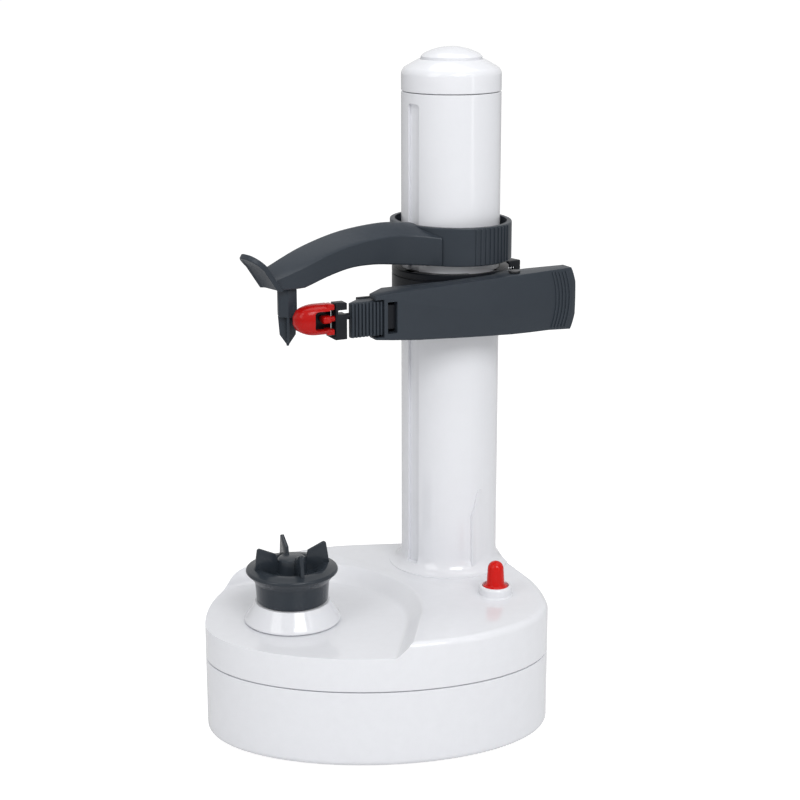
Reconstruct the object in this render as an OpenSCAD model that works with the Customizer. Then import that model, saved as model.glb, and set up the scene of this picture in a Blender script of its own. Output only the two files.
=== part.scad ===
// Electric potato peeler.
// A motor in the base turns a food holder and a lead screw. The screw lowers a carriage with a
// sprung blade arm down a column, while an upper arm steadies the food from above.
// Millimetres, Z up. The column stands on the Z axis, the table is Z = 0 and the front faces -Y.

/* [Base] */
// Half of the base's width
base_half_w = 75.8; // [74:0.2:80]
// Depth of the base's front half
base_front_d = 46.5; // [45:0.5:50]
// Depth of the base's back half
base_back_d = 79.5; // [76:0.5:84]
// Squareness of the front half, where 2 is an ellipse
base_front_square = 2; // [1.9:0.02:2.3]
// Squareness of the back half, where 2 is an ellipse
base_back_square = 2.2; // [2.06:0.02:2.4]
// Turn of the base about the vertical
base_turn = 4.5; // [2:0.1:8]
// Middle of the base's widest line beside the column
base_x = -32.7; // [-34:0.1:-31]
// Middle of the base's widest line in front of the column
base_y = -58.6; // [-60:0.1:-57]
// Radius of the base round the column at its back
lobe_r = 24.5; // [24:0.1:28]
// Height of the raised deck that carries the column
deck_z = 57; // [56:0.5:64]
// Height of the dish floor that catches the peel
dish_z = 50.5; // [49.5:0.5:52]
// Radius of the dish at its floor
dish_floor_r = 51; // [49:0.5:53]
// Radius of the dish at the deck
dish_top_r = 57.2; // [56:0.2:59]
// Distance of the dish's middle in front of the spindle
dish_shift = 3.4; // [2:0.2:5]
// Length that the dish runs on to the front
dish_run_len = 40; // [34:1:50]
// Angle of that run to the left of straight ahead
dish_run_angle = 6.3; // [3:0.1:9]
// Height of the joint line between the two base shells
parting_z = 35; // [33:0.5:36]
// Width of the open joint line
parting_gap = 0.5; // [0.3:0.1:0.8]
// Wall of the base shells
base_wall = 2.5; // [2:0.1:3]
// Rounding of the base's upper edges
edge_r = 3; // [2:0.25:4]
// Height that the rubber feet stand out
foot_stand = 1; // [0.6:0.1:2]
// Radius of a rubber foot
foot_pad_r = 5; // [4:0.25:6]

/* [Column] */
// Outer radius of the column
col_r = 22.2; // [21.5:0.1:23]
// Wall of the column
col_wall = 2.4; // [2:0.1:3]
// Height of the column's joint with its cap
seam_z = 275.8; // [272:0.5:290]
// Width that the column's foot flares out
flare = 5.8; // [4:0.2:7]
// Width of the guide groove
groove_w = 7; // [6:0.25:8]
// Depth of the guide groove
groove_d = 1.6; // [1.2:0.1:2]
// Width of the slot for the drive nut's stem
slot_w = 9.6; // [8.5:0.2:11]
// Radius of the crown on the cap
crown_r = 13.6; // [11:0.2:15]
// Height of the crown
crown_h = 5.4; // [4:0.2:7]

/* [Spindle] */
// Place of the turning spindle beside the column
spindle_x = -70; // [-71:0.25:-69]
// Place of the turning spindle in front of the column
spindle_y = -60; // [-61:0.25:-59]
// Radius of the white skirt at the dish floor
skirt_r = 21.2; // [19:0.2:23]
// Height of the joint between skirt and food holder
holder_z = 59.8; // [58.5:0.1:61]
// Radius of the food holder's cup
cup_r = 15.8; // [15:0.1:17]
// Radius of the food holder's flange
flange_r = 20.2; // [19:0.1:22]
// Height of the flange
flange_z = 73.6; // [72:0.2:76]
// Height of the holder's fins above the flange
fin_h = 11; // [8:0.5:11.5]

/* [Drive] */
// Pitch of the lead screw
screw_pitch = 6; // [5:0.5:7]
// Mean radius of the lead screw's thread
screw_r = 5.7; // [5.2:0.1:6]
// Half of the thread's depth
thread_depth = 0.7; // [0.5:0.05:0.8]
// Teeth of the spindle's gear
spindle_teeth = 60; // [56:1:62]
// Teeth of the lead screw's gear
screw_teeth = 40; // [38:1:41]
// Teeth of the idler between them
idler_teeth = 44; // [44:1:46]
// Teeth of the small pinions
pinion_teeth = 14; // [14:1:16]
// Teeth of the reduction gear on the motor's side
wheel_teeth = 56; // [50:1:58]
// Module of the main gears
main_module = 1; // [0.98:0.01:1.02]
// Module of the motor's gears
motor_module = 0.6; // [0.55:0.01:0.65]
// Radius of the motor's can
motor_r = 11.9; // [11:0.1:12.5]
// Length of the motor's can
motor_len = 26.9; // [26:0.1:27.5]

/* [Start button] */
// Place of the button beside the column
button_x = 20; // [18:0.25:21]
// Place of the button in front of the column
button_y = -47; // [-49:0.25:-45]
// Radius of the button's domed cap
button_r = 3.9; // [3.4:0.1:4.4]
// Height of the domed cap above its flange
button_h = 11.6; // [9:0.2:13]
// Radius of the button's flange
button_flange_r = 5.5; // [5:0.1:5.7]
// Height of the collar round the button above the deck
collar_h = 4.4; // [3.5:0.1:5.5]
// Travel of the button
button_travel = 2.5; // [1.5:0.1:3]

/* [Carriage] */
// Underside of the carriage
carriage_z = 173; // [171:0.5:174]
// Height of the carriage
carriage_h = 25; // [24:0.5:26.5]
// Outer radius of the carriage
carriage_r = 26.5; // [26:0.1:27]
// Running clearance of the parts that slide on the column
slide_clear = 0.3; // [0.25:0.05:0.4]
// Travel of the release tab
release_travel = 2.5; // [2:0.1:2.8]
// Height of the release tab
tab_h = 15.5; // [14:0.5:17]

/* [Blade arm] */
// Angle of the blade arm seen from above
blade_arm_angle = -154.3; // [-156:0.1:-153]
// Distance of the arm's pivot from the column, square to the arm
pivot_out = 31; // [30.5:0.1:32]
// Distance of the pivot behind the column's middle, along the arm
pivot_back = 16; // [15:0.25:17]
// Mid-height of the blade arm
blade_arm_z = 185.4; // [184.5:0.1:186.5]
// Height of the arm at the blade end
blade_end_h = 19; // [17:0.5:21]
// Height of the arm at the thumb end
thumb_end_h = 28; // [25:0.5:29]
// Length of the arm from its pivot to the blade end
blade_reach = 69.9; // [66:0.1:72]
// Length of the arm from its pivot to the thumb end
thumb_reach = 29.5; // [26:0.5:32]
// Thickness of the arm's walls
arm_wall = 2; // [1.6:0.1:2.4]
// Radius of the pivot pin
pivot_pin_r = 1.6; // [1.4:0.1:2]

/* [Blade] */
// Width of the ribbed grip block along the arm
grip_block_len = 14.9; // [13:0.1:16]
// Height of the ribbed grip block
grip_block_h = 15; // [13:0.2:15.8]
// Number of ribs on the grip block
grip_ribs = 9; // [6:1:11]
// Length of the blade cartridge
cartridge_len = 16.6; // [16:0.2:20]
// Height of the blade cartridge
cartridge_h = 13; // [11:0.2:14]
// Thickness of the blade cartridge
cartridge_t = 7.6; // [7:0.1:8.2]

/* [Upper arm] */
// Underside of the upper arm's collar
collar_z = 202; // [201:0.5:206]
// Height of the upper arm's collar
collar_ring_h = 17; // [14:0.5:19]
// Half of the oval collar's length across the arm
collar_half_a = 29.4; // [28.5:0.1:31]
// Half of the oval collar's length along the arm
collar_half_b = 25.8; // [25.4:0.1:27]
// Wall of the oval collar
collar_wall = 2.2; // [1.8:0.1:2.4]
// Half-width of the arm at the collar
upper_arm_half_w = 9; // [7.5:0.25:10]
// Highest lift of the upper arm
upper_lift = 52; // [40:1:54]
// Radius over the corners of the top holder's shaft
top_shaft_r = 4.6; // [3.8:0.1:4.8]
// Length of the top holder's shaft
top_shaft_len = 12; // [10:0.5:14]
// Length of the top holder's fins
top_fin_len = 13; // [10:0.5:15]

/* [Hidden] */

$fn = 72;
white = "#e9eaee";
slate = "#3b424b";
black = "#1d1f23";
red = "#c4161c";
steel = "#b9bcc2";
brass = "#b8964a";
cream = "#d9d3bf";

eps = 0.01;             // thickness of a slice that only shapes a hull
fit = 0.05;             // radial clearance of a turning or pressed fit
play = 0.3;             // clearance between moulded parts

// Base
foot_r = col_r + flare;
base_sides = 90;
pan_floor = base_wall;
pan_edge_r = 3;
top_shell_z = parting_z + parting_gap;
pan_floor_z = foot_stand + pan_floor;
dish_ceiling_z = dish_z - base_wall;
dish_at = [spindle_x, spindle_y - dish_shift];
dish_run = dish_run_len * [-sin(dish_run_angle), -cos(dish_run_angle)];
deck_ceiling_z = deck_z - base_wall;
lip_h = 3;
lip_t = 1.4;
lip_gap = 0.15;
boss_r = 4.2;
screw_shank_r = 1.5;
screw_head_r = 2.9;
screw_head_h = 2;
base_boss_at = [[-45, -97], [24, -71], [26, -22], [-98, -37]];
foot_at = [[0, 0], [16, -80], [-58, -94], [-66, 0], [-99, -56]];
foot_recess = 1.2;

// Battery bay: four AA cells side by side
cell_r = 7.15;
cell_len = 49.2;
cell_nub_r = 2.6;
cell_nub_h = 1.3;
cell_pitch = 15.2;
cell_count = 4;
bay_x0 = -86;
bay_y0 = -83;
battery_spring_len = 5.8;
bay_slack = 0.2;
bay_w = cell_pitch * cell_count;
bay_top_z = 20;
bay_wall = 1.6;
cell_z = 11.6;
contact_t = 0.5;
contact_w = 12;
bay_len = cell_len + cell_nub_h + battery_spring_len + 2 * contact_t + bay_slack;
door_t = 2;
door_lip = 2.5;
door_screw_r = 1.2;
door_screw_head_r = 2.4;
door_screw_at = [bay_x0 + bay_len + 1.7, bay_y0 + bay_w / 2];
bay_pad = 1.5;

// Gear train
plate_z = 31;
plate_t = 2;
spindle_pad_r = 10;
screw_pad_r = 16;
idler_pad_r = 8;
motor_gear_z = 34.4;
motor_gear_h = 3.8;
main_gear_z = 40;
main_gear_h = 4;
mesh_slack = 0.06;      // added to each centre distance
backlash = 0.14;        // taken off each tooth's thickness
axle_r = 1.5;
motor_nose_r = 4.5;
motor_flat = 18.4;
motor_shaft_r = 1;
function pitch_r(teeth, m) = teeth * m / 2;
spindle_at = [spindle_x, spindle_y];
screw_at = [0, 0];
spindle_dist = norm(spindle_at);
spindle_dir = atan2(spindle_y, spindle_x);
d_si = pitch_r(spindle_teeth + idler_teeth, main_module) + mesh_slack;
d_il = pitch_r(idler_teeth + screw_teeth, main_module) + mesh_slack;
idler_along = (pow(d_si, 2) - pow(d_il, 2) + pow(spindle_dist, 2)) / (2 * spindle_dist);
idler_off = sqrt(pow(d_si, 2) - pow(idler_along, 2));
along = [-cos(spindle_dir), -sin(spindle_dir)];
across = [-along[1], along[0]];
idler_at = spindle_at + idler_along * along + idler_off * across;
cluster_dir = -15;
cluster_at = spindle_at
    + (pitch_r(spindle_teeth + pinion_teeth, main_module) + mesh_slack)
    * [cos(cluster_dir), sin(cluster_dir)];
motor_dir = -5;
motor_at = cluster_at
    + (pitch_r(wheel_teeth + pinion_teeth, motor_module) + mesh_slack)
    * [cos(motor_dir), sin(motor_dir)];
function bearing(a, b) = atan2(b[1] - a[1], b[0] - a[0]);
// Turn that puts a gap of the second gear where a tooth of the first one stands
function mesh_turn(a, teeth_a, turn_a, b, teeth_b) =
    let (dir = bearing(a, b), part = (dir - turn_a) * teeth_a / 360)
    dir + 180 - (360 / teeth_b) * (0.5 - part);
idler_turn = mesh_turn(spindle_at, spindle_teeth, 0, idler_at, idler_teeth);
screw_gear_turn = mesh_turn(idler_at, idler_teeth, idler_turn, screw_at, screw_teeth);
cluster_turn = mesh_turn(spindle_at, spindle_teeth, 0, cluster_at, pinion_teeth);
motor_turn = mesh_turn(cluster_at, wheel_teeth, cluster_turn, motor_at, pinion_teeth);
plate_post_at = [[-74, -44], [-46, -50], [-2, -49], [13, -13]];
plate_post_r = 3.4;

// Start button and its switch
button_well_z = 51.5;
button_stem_r = 2;
button_barb_r = 2.8;
collar_r = button_flange_r + 1.9;
flange_top_z = deck_z + collar_h;
button_spring_z0 = button_well_z + 1.5;
button_spring_h = flange_top_z - 1.4 - button_spring_z0;
switch_w = 6.6;
switch_len = 13;
switch_h = 6;
switch_nub_h = 0.4;
button_stem_z = 48.6;
switch_z = button_stem_z - button_travel - 0.1 - switch_nub_h - switch_h;

// Spindle
shaft_r = 4;
bush_r = 6.2;
bush_z = main_gear_z + main_gear_h + 1.2;
skirt_z = dish_z + 0.5;
drive_square = 6;

// Column
seam_gap = 0.4;
cap_side_h = 7;
cap_top_r = crown_r + 0.9;
cap_top_z = seam_z + 14;
spigot_h = 6;
crown_peg_r = 3;
col_inner_r = col_r - col_wall;
rail_w = groove_w + 4;
rail_t = 2;
slot_z0 = 82;
slot_z1 = 258;
groove_z0 = deck_z + 3.4;
groove_z1 = collar_z + collar_ring_h + upper_lift + play;
col_boss_r = 3.6;
col_boss_at_r = col_inner_r - col_boss_r + 0.4;
col_boss_h = 11;
column_screw_at = [for (a = [-80, 40, 160]) col_boss_at_r * [cos(a), sin(a)]];
ramp_angle = -53;
ramp_top_z = deck_z + 39.5;
ramp_shift = 4.5;
ramp_shift_dir = -132;

// Lead screw
journal_r = 3;
thread_z0 = 72;
thread_z1 = 246;
screw_end_z = 272;
steps_per_turn = 12;
thread_sides = 12;
nut_clear = 0.25;
thread_major = screw_r + thread_depth;
screw_core_r = screw_r - thread_depth;
upper_bush_z = 264.8;
upper_bush_h = 6;

// Carriage and nut, in the frame whose +X points at the spindle
ring_in_r = col_r + slide_clear;
nut_h = 12;
nut_z = 186 - nut_h / 2;
nut_len = 21;
nut_w = 18;
nut_bite = 1;
nut_free_r = thread_major + nut_clear;
nut_thread_z0 = thread_z0 + screw_pitch * floor((nut_z - thread_z0) / screw_pitch - 0.01);
nut_thread_z1 = nut_thread_z0 + screw_pitch * (ceil(nut_h / screw_pitch) + 1);
stem_w = slot_w - 2 * play - 0.4;
stem_h = 7;
stem_end = carriage_r + release_travel + 1.2;
tab_len = 7.4;
tab_w = 16;
tab_z = carriage_z + carriage_h - tab_h - 1.2;
release_spring_r = 1.5;
release_spring_y = stem_w / 2 + release_spring_r + 0.7;
release_spring_len = 6.4;
release_spring_drop = 3.6;

// Blade arm, in the frame whose origin is the pivot and whose +X points at the blade
arm_front = 5.5;
arm_back_blade = -8.5;
arm_back_thumb = -1;
arm_back_mid = -3.6;
arm_mid_x = 32;
arm_end_cut = 9;
lug_h = 14;
lug_r = arm_front - arm_wall - play;
ear_r = 6.4;
arm_belly = 1;
thumb_bulge = 3.6;
thumb_rib_r = 34;
thumb_rib_w = 0.9;
thumb_rib_pitch = 1.7;
cut_depth = 60;
pin_head_r = 2.6;
// Half-height of the arm at a distance along it
function arm_half(x) = blade_end_h / 2
    + (thumb_end_h - blade_end_h) / 2 * (blade_reach - x) / (blade_reach + thumb_reach - 4);
pin_half_len = arm_half(-pin_head_r) + 0.1;
window_w = 4.5;
window_h = 13.8;
fork_len = 4.1;
fork_h = 16.4;
fork_x = blade_reach - fork_len;
bulkhead = 1.6;
grip_z = blade_arm_z - 0.5;
tongue_len = 6;
tongue_h = 10.4;
tongue_t = 7;
block_x = fork_x + 0.1;
block_y0 = -4.2;
clip_len = 7.8;
clip_over = 0.3;
block_y1 = 4.6;
block_cut = 6.4;
swivel_y = 4;
swivel_z = blade_arm_z + 1.4;
neck_r = 1.4;
neck_len = 2.5;
yoke_x = block_x + grip_block_len + neck_len;
yoke_len = 5.2;
yoke_w = 5.6;
yoke_low = 9;
yoke_high = 6.7;
blade_t = 0.5;
mouth_len = 6.6;
swivel_pin_r = 1.2;
prong_end = yoke_x + yoke_len + 0.4;

// Upper arm, in the frame whose +X points at the spindle
arm_tip_z = 199.8;
arm_tip_r = spindle_dist + 12.5;
arm_end_tilt = 34;
top_stem_r = 2.5;
top_stem_len = 7.4;
washer_t = 0.5;
paddle_bow_r = 49;
paddle_half_w = 6.6;
paddle_end_r = 5;
paddle_end_x = spindle_dist + 20.8;
paddle_t = 2.4;
arm_end_x = spindle_dist + 6.6;
// Stations along the arm: distance, underside, ridge, crown, half-width
upper_stations = [
    [21, collar_z + 0.3, 214.4, 219.4, upper_arm_half_w + 9.4],
    [31, collar_z + 1, 215.8, 220.8, upper_arm_half_w + 2.6],
    [40, collar_z + 2, 216.4, 221.6, upper_arm_half_w],
    [52, collar_z + 3.4, 216.2, 221.4, upper_arm_half_w - 0.2],
    [64, collar_z + 3.4, 215, 220.4, upper_arm_half_w - 0.5],
    [76, collar_z + 1.2, 212.4, 218.2, upper_arm_half_w - 0.9],
    [spindle_dist - 4, arm_tip_z, 208.6, 214.9, upper_arm_half_w - 1.5],
    [arm_tip_r, arm_tip_z, 203.4, 208.7, upper_arm_half_w - 4.4]
];

// ---------- Shapes that repeat ----------

// Point of a superellipse whose outward normal has direction t
function oval_point(a, b, n, t) =
    let (
        u = pow(abs(a * cos(t)), 1 / (n - 1)),
        v = pow(abs(b * sin(t)), 1 / (n - 1)),
        size = pow(pow(u, n) + pow(v, n), 1 / n)
    )
    [a * sign(cos(t)) * u / size, b * sign(sin(t)) * v / size];

function turned(p, a) = [p[0] * cos(a) - p[1] * sin(a), p[0] * sin(a) + p[1] * cos(a)];

function ellipse(a, b, count = 72) = [
    for (i = [0 : count - 1]) [a * cos(i * 360 / count), b * sin(i * 360 / count)]
];

// Plan of the base: a shallow front half and a deep back half, drawn out round the column's foot.
// Each point is the one of the two curves that lies farther out along its normal.
function base_point(t) =
    let (
        normal = [cos(t), sin(t)],
        at_back = sin(t - base_turn) > 0,
        half_d = at_back ? base_back_d : base_front_d,
        squareness = at_back ? base_back_square : base_front_square,
        oval = [base_x, base_y]
            + turned(oval_point(base_half_w, half_d, squareness, t - base_turn), base_turn)
    )
    oval * normal > lobe_r ? oval : lobe_r * normal;

function base_points(inset, z) = [
    for (i = [0 : base_sides - 1]) let (t = (i + 0.5) * 360 / base_sides, p = base_point(t))
        [p[0] - inset * cos(t), p[1] - inset * sin(t), z]
];

// Plan of the dish: a circle round the spindle, drawn out to the front
function dish_points(r, z) = [
    for (i = [0 : base_sides - 1])
        let (t = (i + 0.5) * 360 / base_sides, normal = [cos(t), sin(t)])
        let (p = dish_at + r * normal + (normal * dish_run > 0 ? dish_run : [0, 0]))
        [p[0], p[1], z]
];

module base_outline(inset = 0) {
    polygon([for (p = base_points(inset, 0)) [p[0], p[1]]]);
}

// Solid through a stack of rings of equal length, from the lowest to the highest
module ring_stack(rings) {
    n = len(rings[0]);
    last = len(rings) - 1;
    polyhedron(
        [for (ring = rings) each ring],
        concat(
            [[for (k = [0 : n - 1]) k]],
            [[for (k = [n - 1 : -1 : 0]) last * n + k]],
            [for (j = [0 : last - 1], k = [0 : n - 1], half = [0, 1]) let (m = (k + 1) % n)
                half == 0 ? [j * n + k, (j + 1) * n + k, j * n + m]
                          : [j * n + m, (j + 1) * n + k, (j + 1) * n + m]]
        )
    );
}

// A block of the base's plan whose top edge is rounded
module base_block(z0, z1, top_r) {
    ring_stack(concat(
        [base_points(0, z0)],
        [for (a = [0 : 30 : 90]) base_points(top_r * (1 - cos(a)), z1 - top_r * (1 - sin(a)))]
    ));
}

function involute(angle) = tan(angle) * 180 / PI - angle;

// Outline of a spur gear with involute flanks
function gear_outline(teeth, m, flank_steps = 3) =
    let (
        pressure = 20,
        rp = teeth * m / 2,
        rb = rp * cos(pressure),
        tip = rp + 0.9 * m,
        root = rp - 1.2 * m,
        start = max(rb, root),
        half = 90 / teeth - backlash / 2 / rp * 180 / PI + involute(pressure),
        radii = [for (k = [0 : flank_steps]) start + (tip - start) * k / flank_steps],
        spread = [for (r = radii) half - involute(acos(min(1, rb / r)))]
    )
    [for (i = [0 : teeth - 1]) let (mid = i * 360 / teeth)
        each concat(
            [root * [cos(mid - spread[0]), sin(mid - spread[0])]],
            [for (k = [0 : flank_steps]) radii[k] * [cos(mid - spread[k]), sin(mid - spread[k])]],
            [for (k = [flank_steps : -1 : 0]) radii[k] * [cos(mid + spread[k]), sin(mid + spread[k])]],
            [root * [cos(mid + spread[0]), sin(mid + spread[0])]]
        )
    ];

module gear(teeth, m, h, bore_r) {
    difference() {
        linear_extrude(h) polygon(gear_outline(teeth, m));
        translate([0, 0, -1]) cylinder(r = bore_r, h = h + 2);
    }
}

// A wire coil about Z, from radius r0 at the bottom to r1 at the top
module coil(r0, r1, wire_r, h, turns, steps = 10, sides = 6) {
    rings = turns * steps;
    rise = h - 2 * wire_r;
    points = [
        for (i = [0 : rings], k = [0 : sides - 1])
            let (
                a = i * 360 / steps,
                r = r0 + (r1 - r0) * i / rings + wire_r * cos(k * 360 / sides)
            )
            [r * cos(a), r * sin(a),
             wire_r + rise * i / rings + wire_r * sin(k * 360 / sides)]
    ];
    walls = [
        for (i = [0 : rings - 1], k = [0 : sides - 1])
            let (n = (k + 1) % sides, b = i * sides)
            [b + k, b + n, b + sides + n, b + sides + k]
    ];
    bottom = [for (k = [sides - 1 : -1 : 0]) k];
    top = [for (k = [0 : sides - 1]) rings * sides + k];
    polyhedron(points, concat([bottom, top], walls), convexity = 8);
}

// A pan-head screw pointing up, its head at the bottom
module screw_up(shank_r, head_r, head_h, len) {
    cylinder(r = shank_r, h = len);
    cylinder(r = head_r, h = head_h);
}

module at_each(places) {
    for (p = places) translate([p[0], p[1], 0]) children();
}

// ---------- Base ----------

module base_pan() {
    color(white) difference() {
        union() {
            difference() {
                ring_stack(concat(
                    [for (a = [0 : 30 : 90])
                        base_points(pan_edge_r * (1 - sin(a)), foot_stand + pan_edge_r * (1 - cos(a)))],
                    [base_points(0, parting_z)]
                ));
                translate([0, 0, pan_floor_z]) linear_extrude(parting_z) base_outline(base_wall);
            }
            // Thicker floor round the door's rebate
            translate([bay_x0 - door_lip - bay_pad, bay_y0 - door_lip - bay_pad, pan_floor_z - eps])
                cube([bay_len + 3 * door_lip + 2 * bay_pad, bay_w + 2 * door_lip + 2 * bay_pad, bay_pad]);
            // Battery bay with its roof
            translate([bay_x0 - bay_wall, bay_y0 - bay_wall, pan_floor_z - eps])
                cube([bay_len + 2 * bay_wall, bay_w + 2 * bay_wall,
                      bay_top_z + bay_wall - pan_floor_z + eps]);
            // Screw posts, gearbox posts, the motor's seat and the door's screw post
            at_each(base_boss_at) translate([0, 0, pan_floor_z - eps])
                cylinder(r = boss_r, h = parting_z - lip_h - pan_floor_z + eps);
            at_each(plate_post_at) translate([0, 0, pan_floor_z - eps])
                cylinder(r = plate_post_r, h = plate_z - pan_floor_z + eps);
            translate([motor_at[0], motor_at[1], pan_floor_z - eps])
                cylinder(r = motor_r - 3, h = plate_z - motor_len - pan_floor_z + eps);
            translate([door_screw_at[0], door_screw_at[1], pan_floor_z - eps])
                cylinder(r = 3.4, h = 7);
        }
        // Inside of the bay, open below, and the rebate for its door
        translate([bay_x0, bay_y0, foot_stand - 1])
            cube([bay_len, bay_w, bay_top_z - foot_stand + 1]);
        translate([bay_x0 - door_lip, bay_y0 - door_lip, foot_stand - 1])
            cube([bay_len + 3 * door_lip, bay_w + 2 * door_lip, door_t + 1]);
        at_each(base_boss_at) {
            cylinder(r = screw_shank_r + 0.2, h = parting_z);
            cylinder(r = screw_head_r + play, h = foot_stand + screw_head_h + 1);
        }
        at_each(plate_post_at) translate([0, 0, plate_z - 8])
            cylinder(r = screw_shank_r + fit, h = 9);
        // Room for the motor above its seat
        translate([motor_at[0], motor_at[1], plate_z - motor_len])
            cylinder(r = motor_r + play, h = motor_len);
        at_each(foot_at) cylinder(r = foot_pad_r + fit, h = foot_stand + foot_recess);
        translate([door_screw_at[0], door_screw_at[1], 0])
            cylinder(r = door_screw_r + fit, h = pan_floor_z + 5);
    }
}

// Posts that hang from the top shell to the pan's posts
module base_bosses(r, top) {
    at_each(base_boss_at) translate([0, 0, parting_z - lip_h])
        cylinder(r = r, h = top - parting_z + lip_h);
}

module under_dish_boss(p, r, z) {
    translate([p[0], p[1], z]) cylinder(r = r, h = dish_ceiling_z - z + 0.5);
}

// Ring of the base's plan between two insets
module base_ring(outer_inset, inner_inset) {
    difference() {
        base_outline(outer_inset);
        base_outline(inner_inset);
    }
}

// Outside of the top shell with its hollow
module top_shell() {
    difference() {
        union() {
            base_block(top_shell_z, dish_z, edge_r - 0.6);
            difference() {
                base_block(top_shell_z, deck_z, edge_r);
                ring_stack([dish_points(dish_floor_r, dish_z), dish_points(dish_top_r, deck_z),
                            dish_points(dish_top_r, deck_z + 2)]);
            }
            // Collar of the start button
            translate([button_x, button_y, deck_z - 1])
                cylinder(r = collar_r, h = collar_h + 1);
        }
        translate([0, 0, top_shell_z - 1]) linear_extrude(dish_ceiling_z - top_shell_z + 1)
            base_outline(base_wall);
        difference() {
            translate([0, 0, top_shell_z - 1]) linear_extrude(deck_ceiling_z - top_shell_z + 1)
                base_outline(base_wall);
            linear_extrude(deck_z)
                polygon([for (p = dish_points(dish_top_r + base_wall, 0)) [p[0], p[1]]]);
        }
    }
}

module base_top() {
    color(white) difference() {
        union() {
            top_shell();
            // Lip that enters the pan
            translate([0, 0, top_shell_z]) linear_extrude(4)
                base_ring(base_wall - 0.2, base_wall + lip_gap + lip_t);
            translate([0, 0, top_shell_z - lip_h]) linear_extrude(lip_h + 1)
                base_ring(base_wall + lip_gap, base_wall + lip_gap + lip_t);
            // Seats of the spindle's bush and the gear axles
            under_dish_boss(spindle_at, bush_r + 2.4, bush_z);
            under_dish_boss(idler_at, axle_r + 2.2, main_gear_z + main_gear_h + 0.6);
            under_dish_boss(cluster_at, axle_r + 2.2, main_gear_z + main_gear_h + 1);
            base_bosses(boss_r, dish_ceiling_z + 1);
            base_deck_bosses();
            // Well of the button and the clip of its switch
            translate([button_x, button_y, button_well_z])
                cylinder(r = collar_r, h = deck_z - button_well_z);
            for (side = [-1, 1])
                translate([button_x - 5, button_y + side * (switch_w / 2 + 0.7) - 0.7, switch_z])
                    cube([10, 1.4, deck_z - 1 - switch_z]);
        }
        // Button well and its stem hole
        translate([button_x, button_y, button_well_z + 1.5])
            cylinder(r = button_flange_r + 0.35, h = deck_z);
        translate([button_x, button_y, button_well_z - 1]) cylinder(r = button_stem_r + 0.3, h = 9);
        // Spindle bush, gear axles, lead screw and screws
        translate([spindle_x, spindle_y, 0]) cylinder(r = bush_r + 0.02, h = deck_z);
        at_each([idler_at, cluster_at]) cylinder(r = axle_r + fit, h = dish_ceiling_z + eps);
        cylinder(r = thread_major + 1, h = deck_z + 1);
        at_each(column_screw_at) translate([0, 0, deck_ceiling_z - 1])
            cylinder(r = screw_shank_r + 0.2, h = base_wall + 2);
        base_bosses(screw_shank_r + fit, parting_z + 9);
    }
}

// The posts outside the dish reach up to the deck
module base_deck_bosses() {
    for (p = base_boss_at)
        if (norm(p - dish_at) > dish_top_r + base_wall + boss_r)
            translate([p[0], p[1], dish_ceiling_z]) cylinder(r = boss_r, h = base_wall + deck_z - dish_z - 2);
}

module rubber_feet() {
    color(black) at_each(foot_at) cylinder(r = foot_pad_r, h = foot_stand + foot_recess);
}

module base_screws() {
    color(steel) at_each(base_boss_at) translate([0, 0, foot_stand + 0.6])
        screw_up(screw_shank_r, screw_head_r, screw_head_h, parting_z + 5 - foot_stand);
}

module battery_door() {
    color(white) difference() {
        translate([bay_x0 - door_lip + 0.2, bay_y0 - door_lip + 0.2, foot_stand])
            cube([bay_len + 3 * door_lip - 0.4, bay_w + 2 * door_lip - 0.4, door_t]);
        translate([door_screw_at[0], door_screw_at[1], 0]) {
            cylinder(r = door_screw_r + 0.2, h = 6);
            cylinder(r = door_screw_head_r + 0.2, h = foot_stand + 1);
        }
    }
}

module door_screw() {
    color(steel) translate([door_screw_at[0], door_screw_at[1], foot_stand])
        screw_up(door_screw_r, door_screw_head_r, 1, 7);
}

// Places of the cells, which point left and right in turn
function cell_y(i) = bay_y0 + cell_pitch * (i + 0.5);

module battery_cells() {
    for (i = [0 : cell_count - 1]) {
        flip = i % 2;
        x0 = bay_x0 + contact_t + bay_slack / 2 + (flip == 1 ? battery_spring_len : 0);
        translate([x0, cell_y(i), cell_z]) rotate([0, 90, 0]) {
            color(black) translate([0, 0, flip == 1 ? 0 : cell_nub_h])
                cylinder(r = cell_r, h = cell_len);
            color(steel) translate([0, 0, flip == 1 ? cell_len - eps : 0])
                cylinder(r = cell_nub_r, h = cell_nub_h + eps);
        }
    }
}

module battery_springs() {
    color(steel) for (i = [0 : cell_count - 1]) {
        flip = i % 2;
        x = flip == 1 ? bay_x0 + contact_t + 0.05 : bay_x0 + bay_len - contact_t - 0.05;
        translate([x, cell_y(i), cell_z]) rotate([0, flip == 1 ? 90 : -90, 0])
            coil(4.6, 3, 0.4, battery_spring_len - 0.1, 4);
    }
}

module contact_plates() {
    color(steel) for (i = [0 : cell_count - 1], x = [bay_x0, bay_x0 + bay_len - contact_t])
        translate([x, cell_y(i) - contact_w / 2, cell_z - contact_w / 2])
            cube([contact_t, contact_w, contact_w]);
}

// ---------- Drive ----------

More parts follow.
